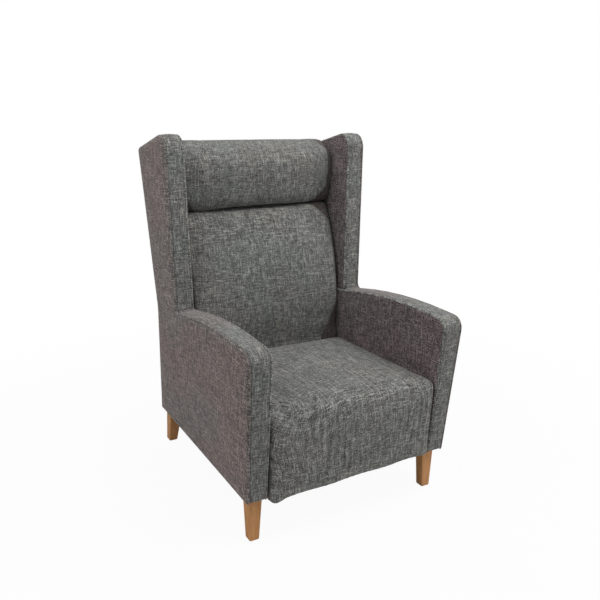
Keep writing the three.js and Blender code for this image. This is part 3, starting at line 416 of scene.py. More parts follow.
def softWave(a, b, reach, phase):
    # A slow unevenness: four crossing sine waves with fixed phases, between about -1 and 1.
    total = np.sin(a / reach + 1.3 * phase) * np.sin(b / (reach * 1.27) + 0.7 * phase)
    total = total + 0.6 * np.sin((a + 0.6 * b) / (reach * 0.61) + 2.1 * phase)
    return (total + 0.4 * np.sin((b - 0.5 * a) / (reach * 0.43) + 3.7 * phase)) / 2


def makeMesh(name, pointsMm, faces, material, threads=None):
    # Faces are one array where all have as many corners, or a list. They are turned to point outward.
    mesh = bpy.data.meshes.new(name)
    if isinstance(faces, list):
        mesh.from_pydata((pointsMm / 1000).tolist(), [], faces)
    else:
        sides = faces.shape[1]
        mesh.vertices.add(len(pointsMm))
        mesh.vertices.foreach_set("co", (pointsMm / 1000).astype(np.float32).ravel())
        mesh.loops.add(faces.size)
        mesh.loops.foreach_set("vertex_index", faces.astype(np.int32).ravel())
        mesh.polygons.add(len(faces))
        mesh.polygons.foreach_set("loop_start", np.arange(0, faces.size, sides, dtype=np.int32))
    mesh.update(calc_edges=True)
    if threads is not None:
        setThreads(mesh, threads)
    form = bmesh.new()
    form.from_mesh(mesh)
    bmesh.ops.dissolve_degenerate(form, dist=1e-6, edges=form.edges)
    bmesh.ops.recalc_face_normals(form, faces=form.faces)
    form.to_mesh(mesh)
    form.free()
    mesh.materials.append(material)
    mesh.polygons.foreach_set("use_smooth", np.ones(len(mesh.polygons), dtype=bool))
    piece = bpy.data.objects.new(name, mesh)
    bpy.context.scene.collection.objects.link(piece)
    return piece


def setThreads(mesh, threadsMm):
    # Weft and warp places and, where there is a third column, the distance to a seam, in metres.
    if "threads" in mesh.attributes:
        mesh.attributes.remove(mesh.attributes["threads"])
    values = np.ones((len(mesh.vertices), 3), np.float32)
    values[:, :threadsMm.shape[1]] = threadsMm / 1000
    mesh.attributes.new("threads", "FLOAT_VECTOR", "POINT").data.foreach_set("vector", values.ravel())


def meshPoints(mesh):
    # A mesh's points in millimetres.
    flat = np.zeros(len(mesh.vertices) * 3, np.float32)
    mesh.vertices.foreach_get("co", flat)
    return flat.reshape(-1, 3).astype(float) * 1000


def putPoints(mesh, pointsMm):
    # Millimetres into the mesh's metres.
    mesh.vertices.foreach_set("co", (pointsMm / 1000).astype(np.float32).ravel())
    mesh.update()


def settle(piece, node):
    # A padded piece of the one body, which stands for a CAD node.
    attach(piece, "root")
    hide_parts(node)


# The two sides: arm and wing in one outline, seen from the side as (y, z)
sideValues = {
    "footHalfWidth": 370.0,
    "underside": 150.0,
    "splayDeg": 0.8,
    "panelThickness": 12.0,
    "bandThickness": 12.0,
    "timberEnd": 56.3,
    "armThickness": 80.0,
    "armFootThickness": 70.0,
    "wingThickness": 73.0,
    "armRearHeight": 603.0,
    "cushionRear": 56.9,  # cushions and inner pads end this far in front of the rear line
    "seatRailFront": 27.7,
    "seatRailTop": 290.3,
    "topRailFoot": 1100.3,
    "seamGroove": 5.5,  # the stitches stand this far below the arm's top edge
}
gap = 0.3  # between neighbouring pieces
armFoot, backFoot, backKink, backCorner = (-395.56, 150), (411.91, 150), (358.22, 575), (445.03, 1135.77)
wingPeak, wingRoot, armFront = (149.44, 1193.76), (149.44, 603), (-447.56, 631)
armTop = np.array([
    (109.44, 610.31), (29.94, 622.45), (-49.56, 631.41), (-129.06, 637.21),
    (-208.56, 639.83), (-288.06, 639.28), (-367.56, 635.56),
])
armEnd = np.vstack([np.column_stack([armTop, np.full(len(armTop), 250.0)]), [[*armFront, 40]]])
sideCorners = np.vstack([
    [[*armFoot, 8], [*backFoot, 8], [*backKink, 120], [*backCorner, 15], [*wingPeak, 50], [*wingRoot, 20]],
    armEnd,
])
armFrontEnd = 14 * arcSpan + 1  # where the arm's band ends, low on the front


def arcMiddle(corner):
    # The number of the point halfway round a corner's arc.
    return corner * arcSpan + arcSteps / 2


def backLine(z, inset):
    # The chair's rear line, bent at the kink, moved forward by the inset.
    lower = (backKink[0] - backFoot[0]) / (backKink[1] - backFoot[1])
    upper = (backCorner[0] - backKink[0]) / (backCorner[1] - backKink[1])
    slope = np.where(z < backKink[1], lower, upper)
    return backKink[0] + slope * (z - backKink[1]) - inset * np.hypot(1, slope)


def rearPoint(z, inset=sideValues["cushionRear"]):
    # A corner (y, z) on the rear line, moved forward by the inset.
    return float(backLine(z, inset)), z


def railFront(z):
    # The seat rail's front face: the line of the arm's front, moved back square to itself.
    frontLean = (armFront[0] - armFoot[0]) / (armFront[1] - armFoot[1])
    return armFoot[0] + frontLean * (z - armFoot[1]) + sideValues["seatRailFront"] * math.hypot(1, frontLean)


def innerSide(z, part):
    # Half the width between the sides at a height, where a part of that thickness ends.
    lean = math.radians(sideValues["splayDeg"])
    outer = sideValues["footHalfWidth"] + (z - sideValues["underside"]) * math.tan(lean)
    return outer - sideValues[part] / math.cos(lean)


def sidePlace(points, sign, tapers):
    # (y, z, depth) to the chair: depth runs in from the outer face, the side leans out, an arm thins to its foot.
    y, z, depth = points[:, 0], points[:, 1], points[:, 2]
    timber, underside = sideValues["timberEnd"], sideValues["underside"]
    if tapers:
        rise = held((z - underside) / (sideValues["armRearHeight"] - underside))
        foot = (sideValues["armFootThickness"] - timber) / (sideValues["armThickness"] - timber)
        depth = np.where(depth > timber, timber + (depth - timber) * (foot + (1 - foot) * rise), depth)
    lean = math.radians(sideValues["splayDeg"])
    across = sideValues["footHalfWidth"] - depth * math.cos(lean) + (z - underside) * math.sin(lean)
    up = underside + (z - underside) * math.cos(lean) + depth * math.sin(lean)
    return np.column_stack([sign * across, y, up])


def bentPad(corners, marks, cells, profile, values, phase):
    # A pad with an L outline. Its rim is the profile (inset, depth) carried round the outline, and two blends of
    # the sides fill its face and its back. The face swells by the crown, less near its edge, and drops by the
    # shoulder times exp(-distance / 14) toward it. Columns four and five are the threads' places: (y, z) on the
    # face, and over the rim the cloth's own length.
    stretches = spreadPlaces(corners, marks, cells)
    loop = np.concatenate([part[:-1] for part in stretches])
    section = np.array(profile)
    length = np.concatenate([np.cumsum(np.linalg.norm(np.diff(section, axis=0), axis=1)[::-1])[::-1], [0]])
    outward = unitLong(lineAt(corners, 0, loop) - lineAt(corners, 6, loop))
    inner = lineAt(corners, section[-1, 0], loop)
    rim = np.stack([
        np.column_stack([ringAt(corners, inset, loop, depth), inner + outward * far])
        for (inset, depth), far in zip(profile, length)
    ])
    patches = [(rim, True)]
    for inset, depth in (profile[0], profile[-1]):
        e = [lineAt(corners, inset, part) for part in stretches]
        share = np.linspace(0, 1, len(e[0]))[:, None]
        middle = (1 - share) * e[5][-1] + share * e[1][-1]
        narrow = coonsPatch(e[0], middle, e[6][::-1], e[1])
        wide = coonsPatch(np.vstack([middle, e[2][1:]]), e[4][::-1], e[5][::-1], e[3])
        for patch in (narrow, wide):
            patches.append((np.dstack([patch, np.full(patch.shape[:2], depth), patch]), False))
    points, faces = weldPatches(patches)
    fromEdge = distanceTo(points[:, :2], roundedLine(corners, 0))
    faceDepth, way = profile[-1][1], np.sign(profile[-1][1] - profile[0][1])
    onFace = held(1 - np.abs(points[:, 2] - faceDepth) / values["edgeRound"])
    swell = values["crown"] * (1 - np.exp(-np.maximum(fromEdge - 10, 0) / 45))
    rise = swell - values["shoulder"] * np.exp(-fromEdge / 14)
    wave = 0.9 * softWave(points[:, 0], points[:, 1], 70, phase) * (1 - np.exp(-fromEdge / 30))
    points[:, 2] += onFace * way * (rise + wave)
    return points, faces


def edgeProfile(backDepth, faceDepth, seamRound, edgeRound):
    # From the back: a small round at the seam, then a larger one to the face, then flat places further in.
    way = 1 if faceDepth > backDepth else -1
    turn = np.linspace(0, math.pi / 2, 5)
    seam = [(seamRound * (1 - math.sin(a)), backDepth + way * seamRound * (1 - math.cos(a))) for a in turn]
    turn = np.linspace(0, math.pi / 2, 8)
    edge = [(edgeRound * (1 - math.cos(a)), faceDepth - way * edgeRound * (1 - math.sin(a))) for a in turn]
    return seam + edge + [(edgeRound + step, faceDepth) for step in (3, 8, 15)]


outerPanelValues = {
    "seamRound": 3.0, "edgeRound": 9.5, "crown": 2.6, "shoulder": 3.6,
    "puckerMm": 2.0, "puckerRun": 85.0, "puckerFoot": 330.0,
}


def outerPanel(values):
    # The whole side's outline, padded outward from the panel's back.
    rearSplit = 16 * arcSpan + arcSteps + 0.06  # just above the kink, one time round
    marks = [*(arcMiddle(corner) for corner in (3, 4, 5, 13, 14, 15)), rearSplit, arcMiddle(17)]
    profile = edgeProfile(sideValues["panelThickness"], 0, values["seamRound"], values["edgeRound"])
    points, faces = bentPad(sideCorners, marks, (30, 50, 96, 40, 126, 40, 50), profile, values, 1.0)
    # Puckers: below the arm's seam the cloth is gathered into upright folds of about 24 mm that fade downward.
    y, z, depth = points[:, 0], points[:, 1], points[:, 2]
    below = distanceTo(points[:, :2], roundedLine(sideCorners, 0))
    gathered = held(1 - depth / 6) * held((z - values["puckerFoot"]) / 80)
    gathered *= held((y + 425) / 30) * held((130 - y) / 40)
    gathered *= held(below / 15 - 0.4) * np.exp(-below / values["puckerRun"])
    fold = np.sin((y + 0.12 * z) / 3.9 + 1.6 * np.sin(y / 43) + 0.6 * np.sin(z / 50))
    points[:, 2] = depth - values["puckerMm"] * fold * (0.6 + 0.4 * np.sin(y / 27 + 2)) * gathered
    return points, faces, sideCorners


# Inner pads: a core behind the band's edge, then the panel that shows beside the band
innerPadValues = {
    "coreInset": 12.6, "panelThickness": 10.0, "seamRound": 2.4, "edgeRound": 7.5, "crown": 3.0, "shoulder": 1.0,
}


def innerPad(corners, marks, cells, thickness, values, phase):
    # The profile runs straight up the core, steps out to the panel and turns over its edge.
    panelStart = thickness - values["panelThickness"]
    core = [(values["coreInset"], depth) for depth in (sideValues["timberEnd"] + gap, panelStart - gap)]
    profile = core + edgeProfile(panelStart, thickness, values["seamRound"], values["edgeRound"])
    return *bentPad(corners, marks, cells, profile, values, phase), corners


def innerArmPad(values):
    # The arm's outline, cut back to the seat rail's front and top and to the cushions' rear.
    underside, railTop = sideValues["underside"], sideValues["seatRailTop"]
    corners = np.vstack([
        [[*armFoot, 8], [railFront(underside), underside, 2], [railFront(railTop), railTop, 2]],
        [[*rearPoint(railTop), 8], [*rearPoint(backKink[1]), 60], [*rearPoint(wingRoot[1]), 8]],
        [[wingRoot[0] + 6, wingRoot[1], 80]],
        armEnd,
    ])
    top = len(corners) - 1
    frontSplit = top * arcSpan + arcSteps + 0.72
    marks = [*(arcMiddle(corner) for corner in (0, 1, 2, 3, 5, top)), frontSplit, arcMiddle(top + 1)]
    return innerPad(corners, marks, (8, 20, 72, 40, 80, 40, 20), sideValues["armThickness"], values, 2.0)


def innerWingPad(values):
    # The wing's outline above the arm, cut back to the cushions' rear below the top rail.
    foot, step, rearInset = wingRoot[1] + gap, sideValues["topRailFoot"], 9.6
    corners = np.array([
        [wingRoot[0], foot, 6], [*rearPoint(foot), 8], [*rearPoint(step), 4], [*rearPoint(step, rearInset), 4],
        [backCorner[0] - rearInset, backCorner[1] + 1.9, 8], [*wingPeak, 50],
    ])
    frontSplit = 5 * arcSpan + arcSteps + 0.14
    marks = [*(arcMiddle(corner) for corner in range(6)), frontSplit, arcMiddle(6)]
    return innerPad(corners, marks, (20, 50, 12, 14, 32, 14, 50), sideValues["wingThickness"], values, 3.0)


# Bands: a strip wrapped over the edge of arm or wing, rounded at both seams
bandValues = {"seamRound": 2.8, "crown": 1.6, "endRound": 2.5, "flareFrom": 95.0, "flareTo": 62.0, "cells": 110}


def tubeFaces(rows, columns):
    # A closed grid with its first and last ring filled.
    ends = np.arange(columns), (rows - 1) * columns + np.arange(columns)[::-1]
    return gridFaces(rows, columns, 0, True).tolist() + [end.tolist() for end in ends]


def wrappedBand(start, end, width, flare, values):
    # A closed section (inset, depth) is carried along the outline; its outer face swells between the seams.
    # Toward the rear end the section widens by the flare, along half a cosine wave.
    thickness, low, r = sideValues["bandThickness"], sideValues["panelThickness"] + gap, values["seamRound"]
    turn = np.linspace(0, math.pi / 2, 5)
    near = [(r * (1 - math.sin(a)), low + r * (1 - math.cos(a))) for a in turn]
    share = np.linspace(0, 1, 9)[1:-1]
    face = [(-values["crown"] * math.sin(math.pi * s) ** 0.8, low + r + (width - low - 2 * r) * s) for s in share]
    far = [(r * (1 - math.cos(a)), width - r * (1 - math.sin(a))) for a in turn]
    section = np.array([(thickness, low)] + near + face + far + [(thickness, width)])
    places = spreadPlaces(sideCorners, [start, end], [values["cells"]], 0.2)[0]
    shrunk = section.copy()
    shrunk[:, 0] = np.clip(shrunk[:, 0], values["endRound"], thickness)
    shrunk[:, 1] = np.clip(shrunk[:, 1], low + values["endRound"], width - values["endRound"])
    grid, ends = (
        np.stack([ringAt(sideCorners, inset, at, depth) for inset, depth in form], axis=1)
        for form, at in ((section, places), (shrunk, places[[0, -1]]))
    )
    for row, other in ((0, 1), (-1, -2)):
        step = grid[other] - grid[row]
        length = np.maximum(np.linalg.norm(step, axis=1, keepdims=True), 1e-6)
        grid[row] += step * np.minimum(values["endRound"] / length, 0.9)
    grid = np.concatenate([ends[:1], grid, ends[1:]])
    near = (values["flareFrom"] - runAlong(grid[:, 10, :2])) / (values["flareFrom"] - values["flareTo"])
    wider = flare * (1 - np.cos(math.pi * held(near))) / 2 / (width - low)
    grid[:, :, 2] = low + (grid[:, :, 2] - low) * (1 + wider[:, None])
    return grid


def sideThreads(points, corners, sign, outside):
    # The third value is the distance to a line: outside, to the stitches beside the arm's top seam, where a line of
    # painted shade marks their groove, faded out elsewhere; inside, to the rim, which is as grey as the bands.
    y, z = points[:, 0], points[:, 1]
    fromEdge = distanceTo(points[:, :2], roundedLine(corners, 0))
    onArm = held((z - 560) / 30) * held((y + 400) / 60) * held((140 - y) / 30)
    fromLine = fromEdge - sideValues["seamGroove"] * onArm + 1.5 * (1 - onArm) if outside else fromEdge - 5
    return np.column_stack([points[:, 3] * 0.7 + 37 * sign, points[:, 4], fromLine])


def makeSides():
    # Each shape is worked out once a side as (y, z, depth) and placed left and right by sign.
    panelInner = innerPadValues["panelThickness"] + gap
    rearTop = 2 * arcSpan + arcSteps + 0.955
    for side, sign in (("Left", -1), ("Right", 1)):
        for name, form, node, cloth, slot, tapers in (
            ("outerPanel", outerPanel(outerPanelValues), "outer_side_panel", sideCloth, "side_fabric", False),
            ("innerArmPad", innerArmPad(innerPadValues), "inner_arm_pad", innerClothPaintedShade, "fabric", True),
            ("innerWingPad", innerWingPad(innerPadValues), "inner_wing_pad", innerClothPaintedShade, "fabric", False),
        ):
            points, faces, corners = form
            threads = sideThreads(points, corners, sign, slot == "side_fabric")
            piece = makeMesh(name + side, sidePlace(points, sign, tapers), faces, cloth, threads)
            settle(piece, f"{node}_{side.lower()}")
        for name, start, end, thickness, flare, node, tapers in (
            ("armBand", arcMiddle(5), armFrontEnd, "armThickness", 0.0, "arm_band", True),
            ("wingBand", rearTop, arcMiddle(5), "wingThickness", 9.3, "wing_band", False),
        ):
            grid = wrappedBand(start, end, sideValues[thickness] - panelInner, flare, bandValues)
            rows, columns = grid.shape[:2]
            run = np.repeat(runAlong(grid[:, columns // 2, :2]), columns)
            points = grid.reshape(-1, 3)
            warm = -180 - points[:, 0] if tapers else np.full(len(points), 300)  # the rear of the arm's top is warmer
            threads = np.column_stack([points[:, 2] + 211 * sign, run + 211 * sign, warm])
            place = sidePlace(points, sign, tapers)
            piece = makeMesh(name + side, place, tubeFaces(rows, columns), armCloth, threads)
            settle(piece, f"{node}_{side.lower()}")


# Stitches: a row of lockstitches on each outer panel, beside the arm's top seam
stitchValues = {"pitch": 5.6, "length": 4.0, "radius": 0.5, "inset": sideValues["seamGroove"], "rise": 0.25}


def stitchRow(path, normal, values):
    # Tube (t, u): along a stitch the middle line rises as a sine over the cloth, and the radius follows the
    # root of a sine.
    length = runAlong(path)
    start = np.arange(2, length[-1] - values["length"] - 2, values["pitch"])
    t, turn = np.linspace(0, 1, 6), np.linspace(0, 2 * math.pi, 7)[:-1]
    where = start[:, None] + values["length"] * t[None, :]
    middle, up = (
        np.stack([np.interp(where, length, line[:, k]) for k in range(3)], axis=-1) for line in (path, normal)
    )
    across = np.cross(unitLong(middle[:, -1:] - middle[:, :1]), up)
    middle = middle + up * (values["rise"] * np.sin(math.pi * t))[None, :, None]
    radius = values["radius"] * (0.45 + 0.55 * np.sqrt(np.sin(math.pi * t)))[None, :, None, None]
    ring = across[:, :, None] * np.cos(turn)[None, None, :, None] + up[:, :, None] * np.sin(turn)[None, None, :, None]
    points = middle[:, :, None] + radius * ring
    each, rows, columns = points.shape[:3]
    one = tubeFaces(rows, columns)
    faces = [[index + number * rows * columns for index in face] for number in range(each) for face in one]
    return points.reshape(-1, 3), faces


def makeStitches(values):
    # The row lies on the panel's rounded edge: its depth there is the arc's, and the normal is the arc's own.
    panel = outerPanelValues
    edge = 1 - values["inset"] / panel["edgeRound"]
    onArc = panel["edgeRound"] * (1 - math.sqrt(1 - edge ** 2))
    depth = onArc + (1 - onArc / panel["edgeRound"]) * panel["shoulder"] * math.exp(-values["inset"] / 14)
    places = spreadPlaces(sideCorners, [arcMiddle(5), armFrontEnd], [200], 0.0)[0]
    line, inner = (lineAt(sideCorners, values["inset"] + further, places) for further in (0, 1))
    slope = edge / math.sqrt(1 - edge ** 2)
    on, off = line, line - (inner - line) * slope
    for side, sign in (("Left", -1), ("Right", 1)):
        path, away = (
            sidePlace(np.column_stack([at, np.full(len(at), deep)]), sign, False)
            for at, deep in ((on, depth), (off, depth - 1))
        )
        piece = makeMesh("armStitches" + side, *stitchRow(path, unitLong(away - path), values), threadMaterial)
        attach(piece, "root")


makeSides()
makeStitches(stitchValues)
print("sides covered")


# Cushions: a closed section in (y, z) carried across the chair and rounded over at both ends
def crossCushion(corners, halfWidth, endRound, place, cells):
    # Ring by ring the section draws in by the end rounding's inset; place shapes each ring.
    turn = np.linspace(0, math.pi / 2, 6)
    near = [(-1 + endRound / halfWidth * (1 - math.cos(a)), endRound * (1 - math.sin(a))) for a in turn]
    inner = np.linspace(near[-1][0], -near[-1][0], cells[1] + 1)[1:-1]
    stations = near + [(s, 0.0) for s in inner] + [(-s, inset) for s, inset in near[::-1]]
    places = spreadPlaces(corners, [0, len(corners) * arcSpan], cells[:1], 0.0)[0][:-1]
    rings = np.stack([ringAt(corners, inset, places, share) for share, inset in stations])
    return place(*rings.reshape(-1, 3).T), tubeFaces(*rings.shape[:2])


def bakeModifiers(piece):
    # The mesh that the modifiers give becomes the piece's own.
    graph = bpy.context.evaluated_depsgraph_get()
    graph.update()
    old, piece.data = piece.data, bpy.data.meshes.new_from_object(piece.evaluated_get(graph))
    piece.modifiers.clear()
    bpy.data.meshes.remove(old)


# Padding: how the covers of the cushions are remeshed and swollen
padValues = {
    "voxelMm": 6.0, "frames": 20, "evenShare": 0.5, "evenTurns": 3,
    "cloth": {
        "quality": 5, "mass": 0.3, "tension_stiffness": 15.0, "compression_stiffness": 15.0, "shear_stiffness": 7.5,
        "bending_stiffness": 2.0, "use_pressure": True, "uniform_pressure_force": 4.0,
    },
}


def stuffed(name, form, material, reachMm, values):
    # Even quads, then cloth under inner pressure. A point's move grows as reach times tanh(length / reach).
    piece = makeMesh(name, *form, material)
    remesh = piece.modifiers.new("remesh", "REMESH")
    remesh.mode = "VOXEL"
    remesh.voxel_size = values["voxelMm"] / 1000
    remesh.use_smooth_shade = True
    bakeModifiers(piece)
    start = meshPoints(piece.data)
    cloth = piece.modifiers.new("cloth", "CLOTH")
    for setting, value in values["cloth"].items():
        setattr(cloth.settings, setting, value)
    cloth.settings.effector_weights.gravity = 0
    cloth.point_cache.frame_start = 1
    cloth.point_cache.frame_end = values["frames"]
    for number in range(1, values["frames"] + 1):
        bpy.context.scene.frame_set(number)
    graph = bpy.context.evaluated_depsgraph_get()
    move = meshPoints(piece.evaluated_get(graph).data) - start
    piece.modifiers.clear()
    bpy.context.scene.frame_set(1)
    length = np.maximum(np.linalg.norm(move, axis=1), 1e-6)
    room = reachMm(*start.T)
    putPoints(piece.data, start + move * (room * np.tanh(length / np.maximum(room, 1e-6)) / length)[:, None])
    even = piece.modifiers.new("even", "SMOOTH")
    even.factor = values["evenShare"]
    even.iterations = values["evenTurns"]
    bakeModifiers(piece)
    return piece, meshPoints(piece.data)


def finishCushion(piece, pointsMm, threadsMm, material, node):
    # The shaped points and the threads go in, and one level of subdivision rounds the cloth.
    putPoints(piece.data, pointsMm)
    setThreads(piece.data, threadsMm)
    piece.data.materials.clear()
    piece.data.materials.append(material)
    piece.data.polygons.foreach_set("use_smooth", np.ones(len(piece.data.polygons), dtype=bool))
    piece.data.update()
    subdivide = piece.modifiers.new("subdivide", "SUBSURF")
    subdivide.levels = subdivide.render_levels = 1
    settle(piece, node)


def pulledThreads(across, along, phase):
    # Stretched over padding, the threads lose their straightness by up to four millimetres.
    aside, ahead = softWave(across, along, 75, phase), softWave(along, across, 85, phase + 1)
    return np.column_stack([across + 4 * aside, along + 4 * ahead])


# Seat: crowned, rolled over its front edge and carried down over the front rail
seatValues = {
    "edgeHeight": 428.0, "crown": 14.0, "halfWidth": 291.0, "belly": 5.0, "front": 429.0, "frontLean": 16.0,
    "rear": 160.0, "base": 372.0, "bottom": 146.0, "edgeRound": 26.0, "endRound": 15.0, "swellMm": 5.0, "slack": 3.0,
    "cells": (170, 64),
    "sideFlare": 8.0,  # low down the border's sides flare to the arms, in front of the rail
    "borderTilt": 7.0,  # its lower edge hangs lower at the left than at the right
    "wrinkleMm": 2.6,
    "cornerTurn": 0.7,  # radians that the threads turn at the front left corner
    "rippleMm": 2.6,
}


def seatPlace(y, z, share):
    # Lift: an arch along the seat times a parabola across it. Belly: the sides press out against the arms.
    values = seatValues
    along = held((y + values["front"]) / (values["rear"] + values["front"]))
    up = held((z - values["base"]) / (values["edgeHeight"] - values["base"]))
    lift = values["crown"] * (1 - share ** 2) * np.sin(math.pi * (0.15 + 0.70 * along)) * up
    nearRail = held(1 - (railFront(z) - y) / 22) * (y < railFront(z) + 1)
    flare = values["sideFlare"] * (1 - up) * (0.35 + 0.65 * nearRail)
    uneven = values["borderTilt"] * share + 1.6 * np.sin(share * 9 + 1) - 4 * np.exp(-((share + 0.93) / 0.07) ** 2)
    hang = held((230 - z) / 80) * uneven
    return np.column_stack([share * (values["halfWidth"] + values["belly"] * up + flare), y, z + lift + hang])


def seatReach(x, y, z):
    # The front and the top may swell, less at the sides and least at the rear.
    values = seatValues
    front = held((railFront(z) - 6 - y) / 12)
    top = held((z - values["base"] - 20) / 25)
    sides = 1 - 0.75 * held((np.abs(x) - values["halfWidth"] + 25) / 20)
    rear = np.clip((values["rear"] - 4 - y) / 30, 0.1, 1)
    return values["swellMm"] * np.maximum(front, top) * sides * rear + 0.02


def makeSeat(values):
    # The section runs from the border's foot up the rail, back over the base and forward over the top.
    slack, bottom, base, front = values["slack"], values["bottom"], values["base"], values["front"]
    corners = np.array([
        [-front + values["frontLean"] + slack, bottom, 8],
        [railFront(bottom), bottom, 8],
        [railFront(base), base, 3],
        [values["rear"], base, 8],
        [values["rear"], values["edgeHeight"] - values["crown"], 14],
        [-front + slack, values["edgeHeight"] - slack, values["edgeRound"]],
    ])
    form = crossCushion(corners, values["halfWidth"] - slack, values["endRound"], seatPlace, values["cells"])
    piece, points = stuffed("seatCushionCover", form, seatCloth, seatReach, padValues)
    x, y, z = points.T  # they follow the points as these move
    over = held((z - base) / 30)
    # Wrinkles: arcs round the front left corner. Ripples: the cloth of the border hangs in narrow folds.
    apart = np.hypot(x + values["halfWidth"], y + front)
    arcs = np.sin(apart / 3.9 + 0.8 * np.sin(x / 31)) * np.exp(-((apart - 85) / 50) ** 2)
    points[:, 2] += (1.2 * softWave(x, y, 60, 5.0) + values["wrinkleMm"] * arcs) * over
    folds = np.sin(x / 3.9 + 1.3 * np.sin(z / 47 + x / 90) + 2.2 * np.sin(x / 41))
    folds = folds * (0.55 + 0.45 * np.sin(x / 57 + 0.9 + z / 120)) * (0.35 + 0.65 * held((z - 150) / 60))
    onBorder = (1 - over) * (y < railFront(z) - 8)
    points[:, 1] += (1.0 * softWave(x, z, 55, 6.0) + values["rippleMm"] * folds) * onBorder
    # The threads run over the top and down the border, and turn round the front left corner, where the cloth is
    # drawn down: by cornerTurn times a bell of the distance.
    down = np.clip(values["edgeHeight"] - z, 0, None)
    right, back = x + values["halfWidth"], np.where(y < 30 - front, -down, (y + front) * 0.7)
    turn = values["cornerTurn"] * np.exp(-((right / 150) ** 2 + (back / 130) ** 2))
    across = right * np.cos(turn) - back * np.sin(turn) - values["halfWidth"]
    along = right * np.sin(turn) + back * np.cos(turn) - front
    finishCushion(piece, points, pulledThreads(across, along, 5.0), seatCloth, "seat_cushion")


makeSeat(seatValues)
print("seat covered")

# Back pad: its face leans back from the seat to the fold, with a lumbar swell, and is crowned across
backValues = {
    "bottom": 376.0, "top": 924.4, "seatHeight": 428.0, "crease": 925.0, "footFace": 163.0, "creaseFace": 270.0,
    "lumbar": 38.0, "lumbarPower": 1.2, "crown": 15.0, "footCrown": 3.0, "softness": 3.0,
    "endRound": 11.0, "topRound": 26.0, "swellMm": 7.0, "slack": 4.0, "cells": (170, 60),
    "upperCorner": (80.0, 88.0, 9.0), "lowerCorner": (80.0, 180.0, 18.0),  # across, up, deep
    "borderSpan": (428.0, 925.0), "sideBorder": 9.0, "sideDepth": 3.0, "seamDepth": 2.4,
}

# Headrest: a roll between the wings, whose lower edge meets the back pad in the fold
headValues = {
    "bottom": 925.3, "top": 1173.0, "bevel": 54.0, "foldFace": 268.0, "frontFace": 246.0, "topFace": 336.0,
    "rearTop": 1141.9, "crown": 28.0, "softness": 3.2, "endRound": 8.0, "swellMm": 6.0, "slack": 3.0,
    "cells": (110, 60),
    "upperCorner": (62.0, 120.0, 18.0), "lowerCorner": (98.0, 118.0, 9.0),
    "borderSpan": (925.3, 1173.0), "sideBorder": 27.0, "sideDepth": 7.0, "seamDepth": 2.4,
    "endDrop": 8.0, "wrinkleMm": 1.9,
}


def backFace(z):
    # A straight line from foot to fold, less a sine of the height to a power.
    values = backValues
    share = held((z - values["seatHeight"]) / (values["crease"] - values["seatHeight"]))
    straight = values["footFace"] + (values["creaseFace"] - values["footFace"]) * share
    return straight - values["lumbar"] * np.sin(math.pi * share ** values["lumbarPower"])


def crowned(y, z, share, face, crown, softness, fall):
    # The front moves forward by the crown at mid width, the rear stays on the webs.
    rear = backLine(z, sideValues["cushionRear"])
    ahead = held((rear - y) / (rear - face))
    return y + (fall - crown * (1 - np.abs(share) ** softness)) * ahead


def onFront(y, z, inset):
    # 1 on a cushion's front, fading to 0 over 30 mm before the inset from the rear line.
    return held((backLine(z, inset) - y) / 30)


def faceBorder(values, z, width, x):
    # Toward a corner of a cushion's face its seam stands further in from the side, and the border falls back:
    # (1 - height / up) to the power 1.6, times across and times depth. Distances from the left end count more,
    # because its corners are narrower. Gives the distance from the side, how far inside the seam a point lies and
    # how far the border falls.
    fromSide = (width - np.abs(x)) * np.where(x < 0, 1.7, 1.0)
    foot, top = values["borderSpan"]
    border, depth = np.zeros_like(fromSide), np.zeros_like(fromSide)
    for (across, up, deep), height in ((values["lowerCorner"], z - foot), (values["upperCorner"], top - z)):
        near = held(1 - height / up) ** 1.6
        border, depth = border + across * near, depth + deep * near
    inside = fromSide - np.maximum(border, values["sideBorder"])
    return fromSide, inside, (depth + values["sideDepth"]) * np.tanh(np.maximum(-inside, 0) / 12)


def foldLift(share, z, reach):
    # The fold between headrest and back pad is a little higher at the right than at the left.
    return 5 * share * held(1 - np.abs(z - headValues["bottom"]) / reach)


def backPlace(y, z, share):
    # Across between the arms; forward by a crown that grows up to the kink; back by the border's fall.
    values = backValues
    foot = values["seatHeight"]
    rise = held((z - foot) / (backKink[1] - foot))
    rise = rise * rise * (3 - 2 * rise)
    crown = np.where(z < foot, 0, values["footCrown"]) * (1 - rise) + values["crown"] * rise
    width = innerSide(z, "armThickness") - gap
    fall = faceBorder(values, z, width, share * width)[2] * held((z - foot) / 45)
    moved = crowned(y, z, share, backFace(z), crown, values["softness"], fall)
    return np.column_stack([share * width, moved, z + foldLift(share, z, 120)])


def backReach(x, y, z):
    # The front may swell, less at the sides and least behind the seat.
    sides = 1 - 0.8 * held((np.abs(x) - 275) / 20)
    return backValues["swellMm"] * onFront(y, z, 90) * sides * np.clip((z - 430) / 60, 0.1, 1) + 0.02


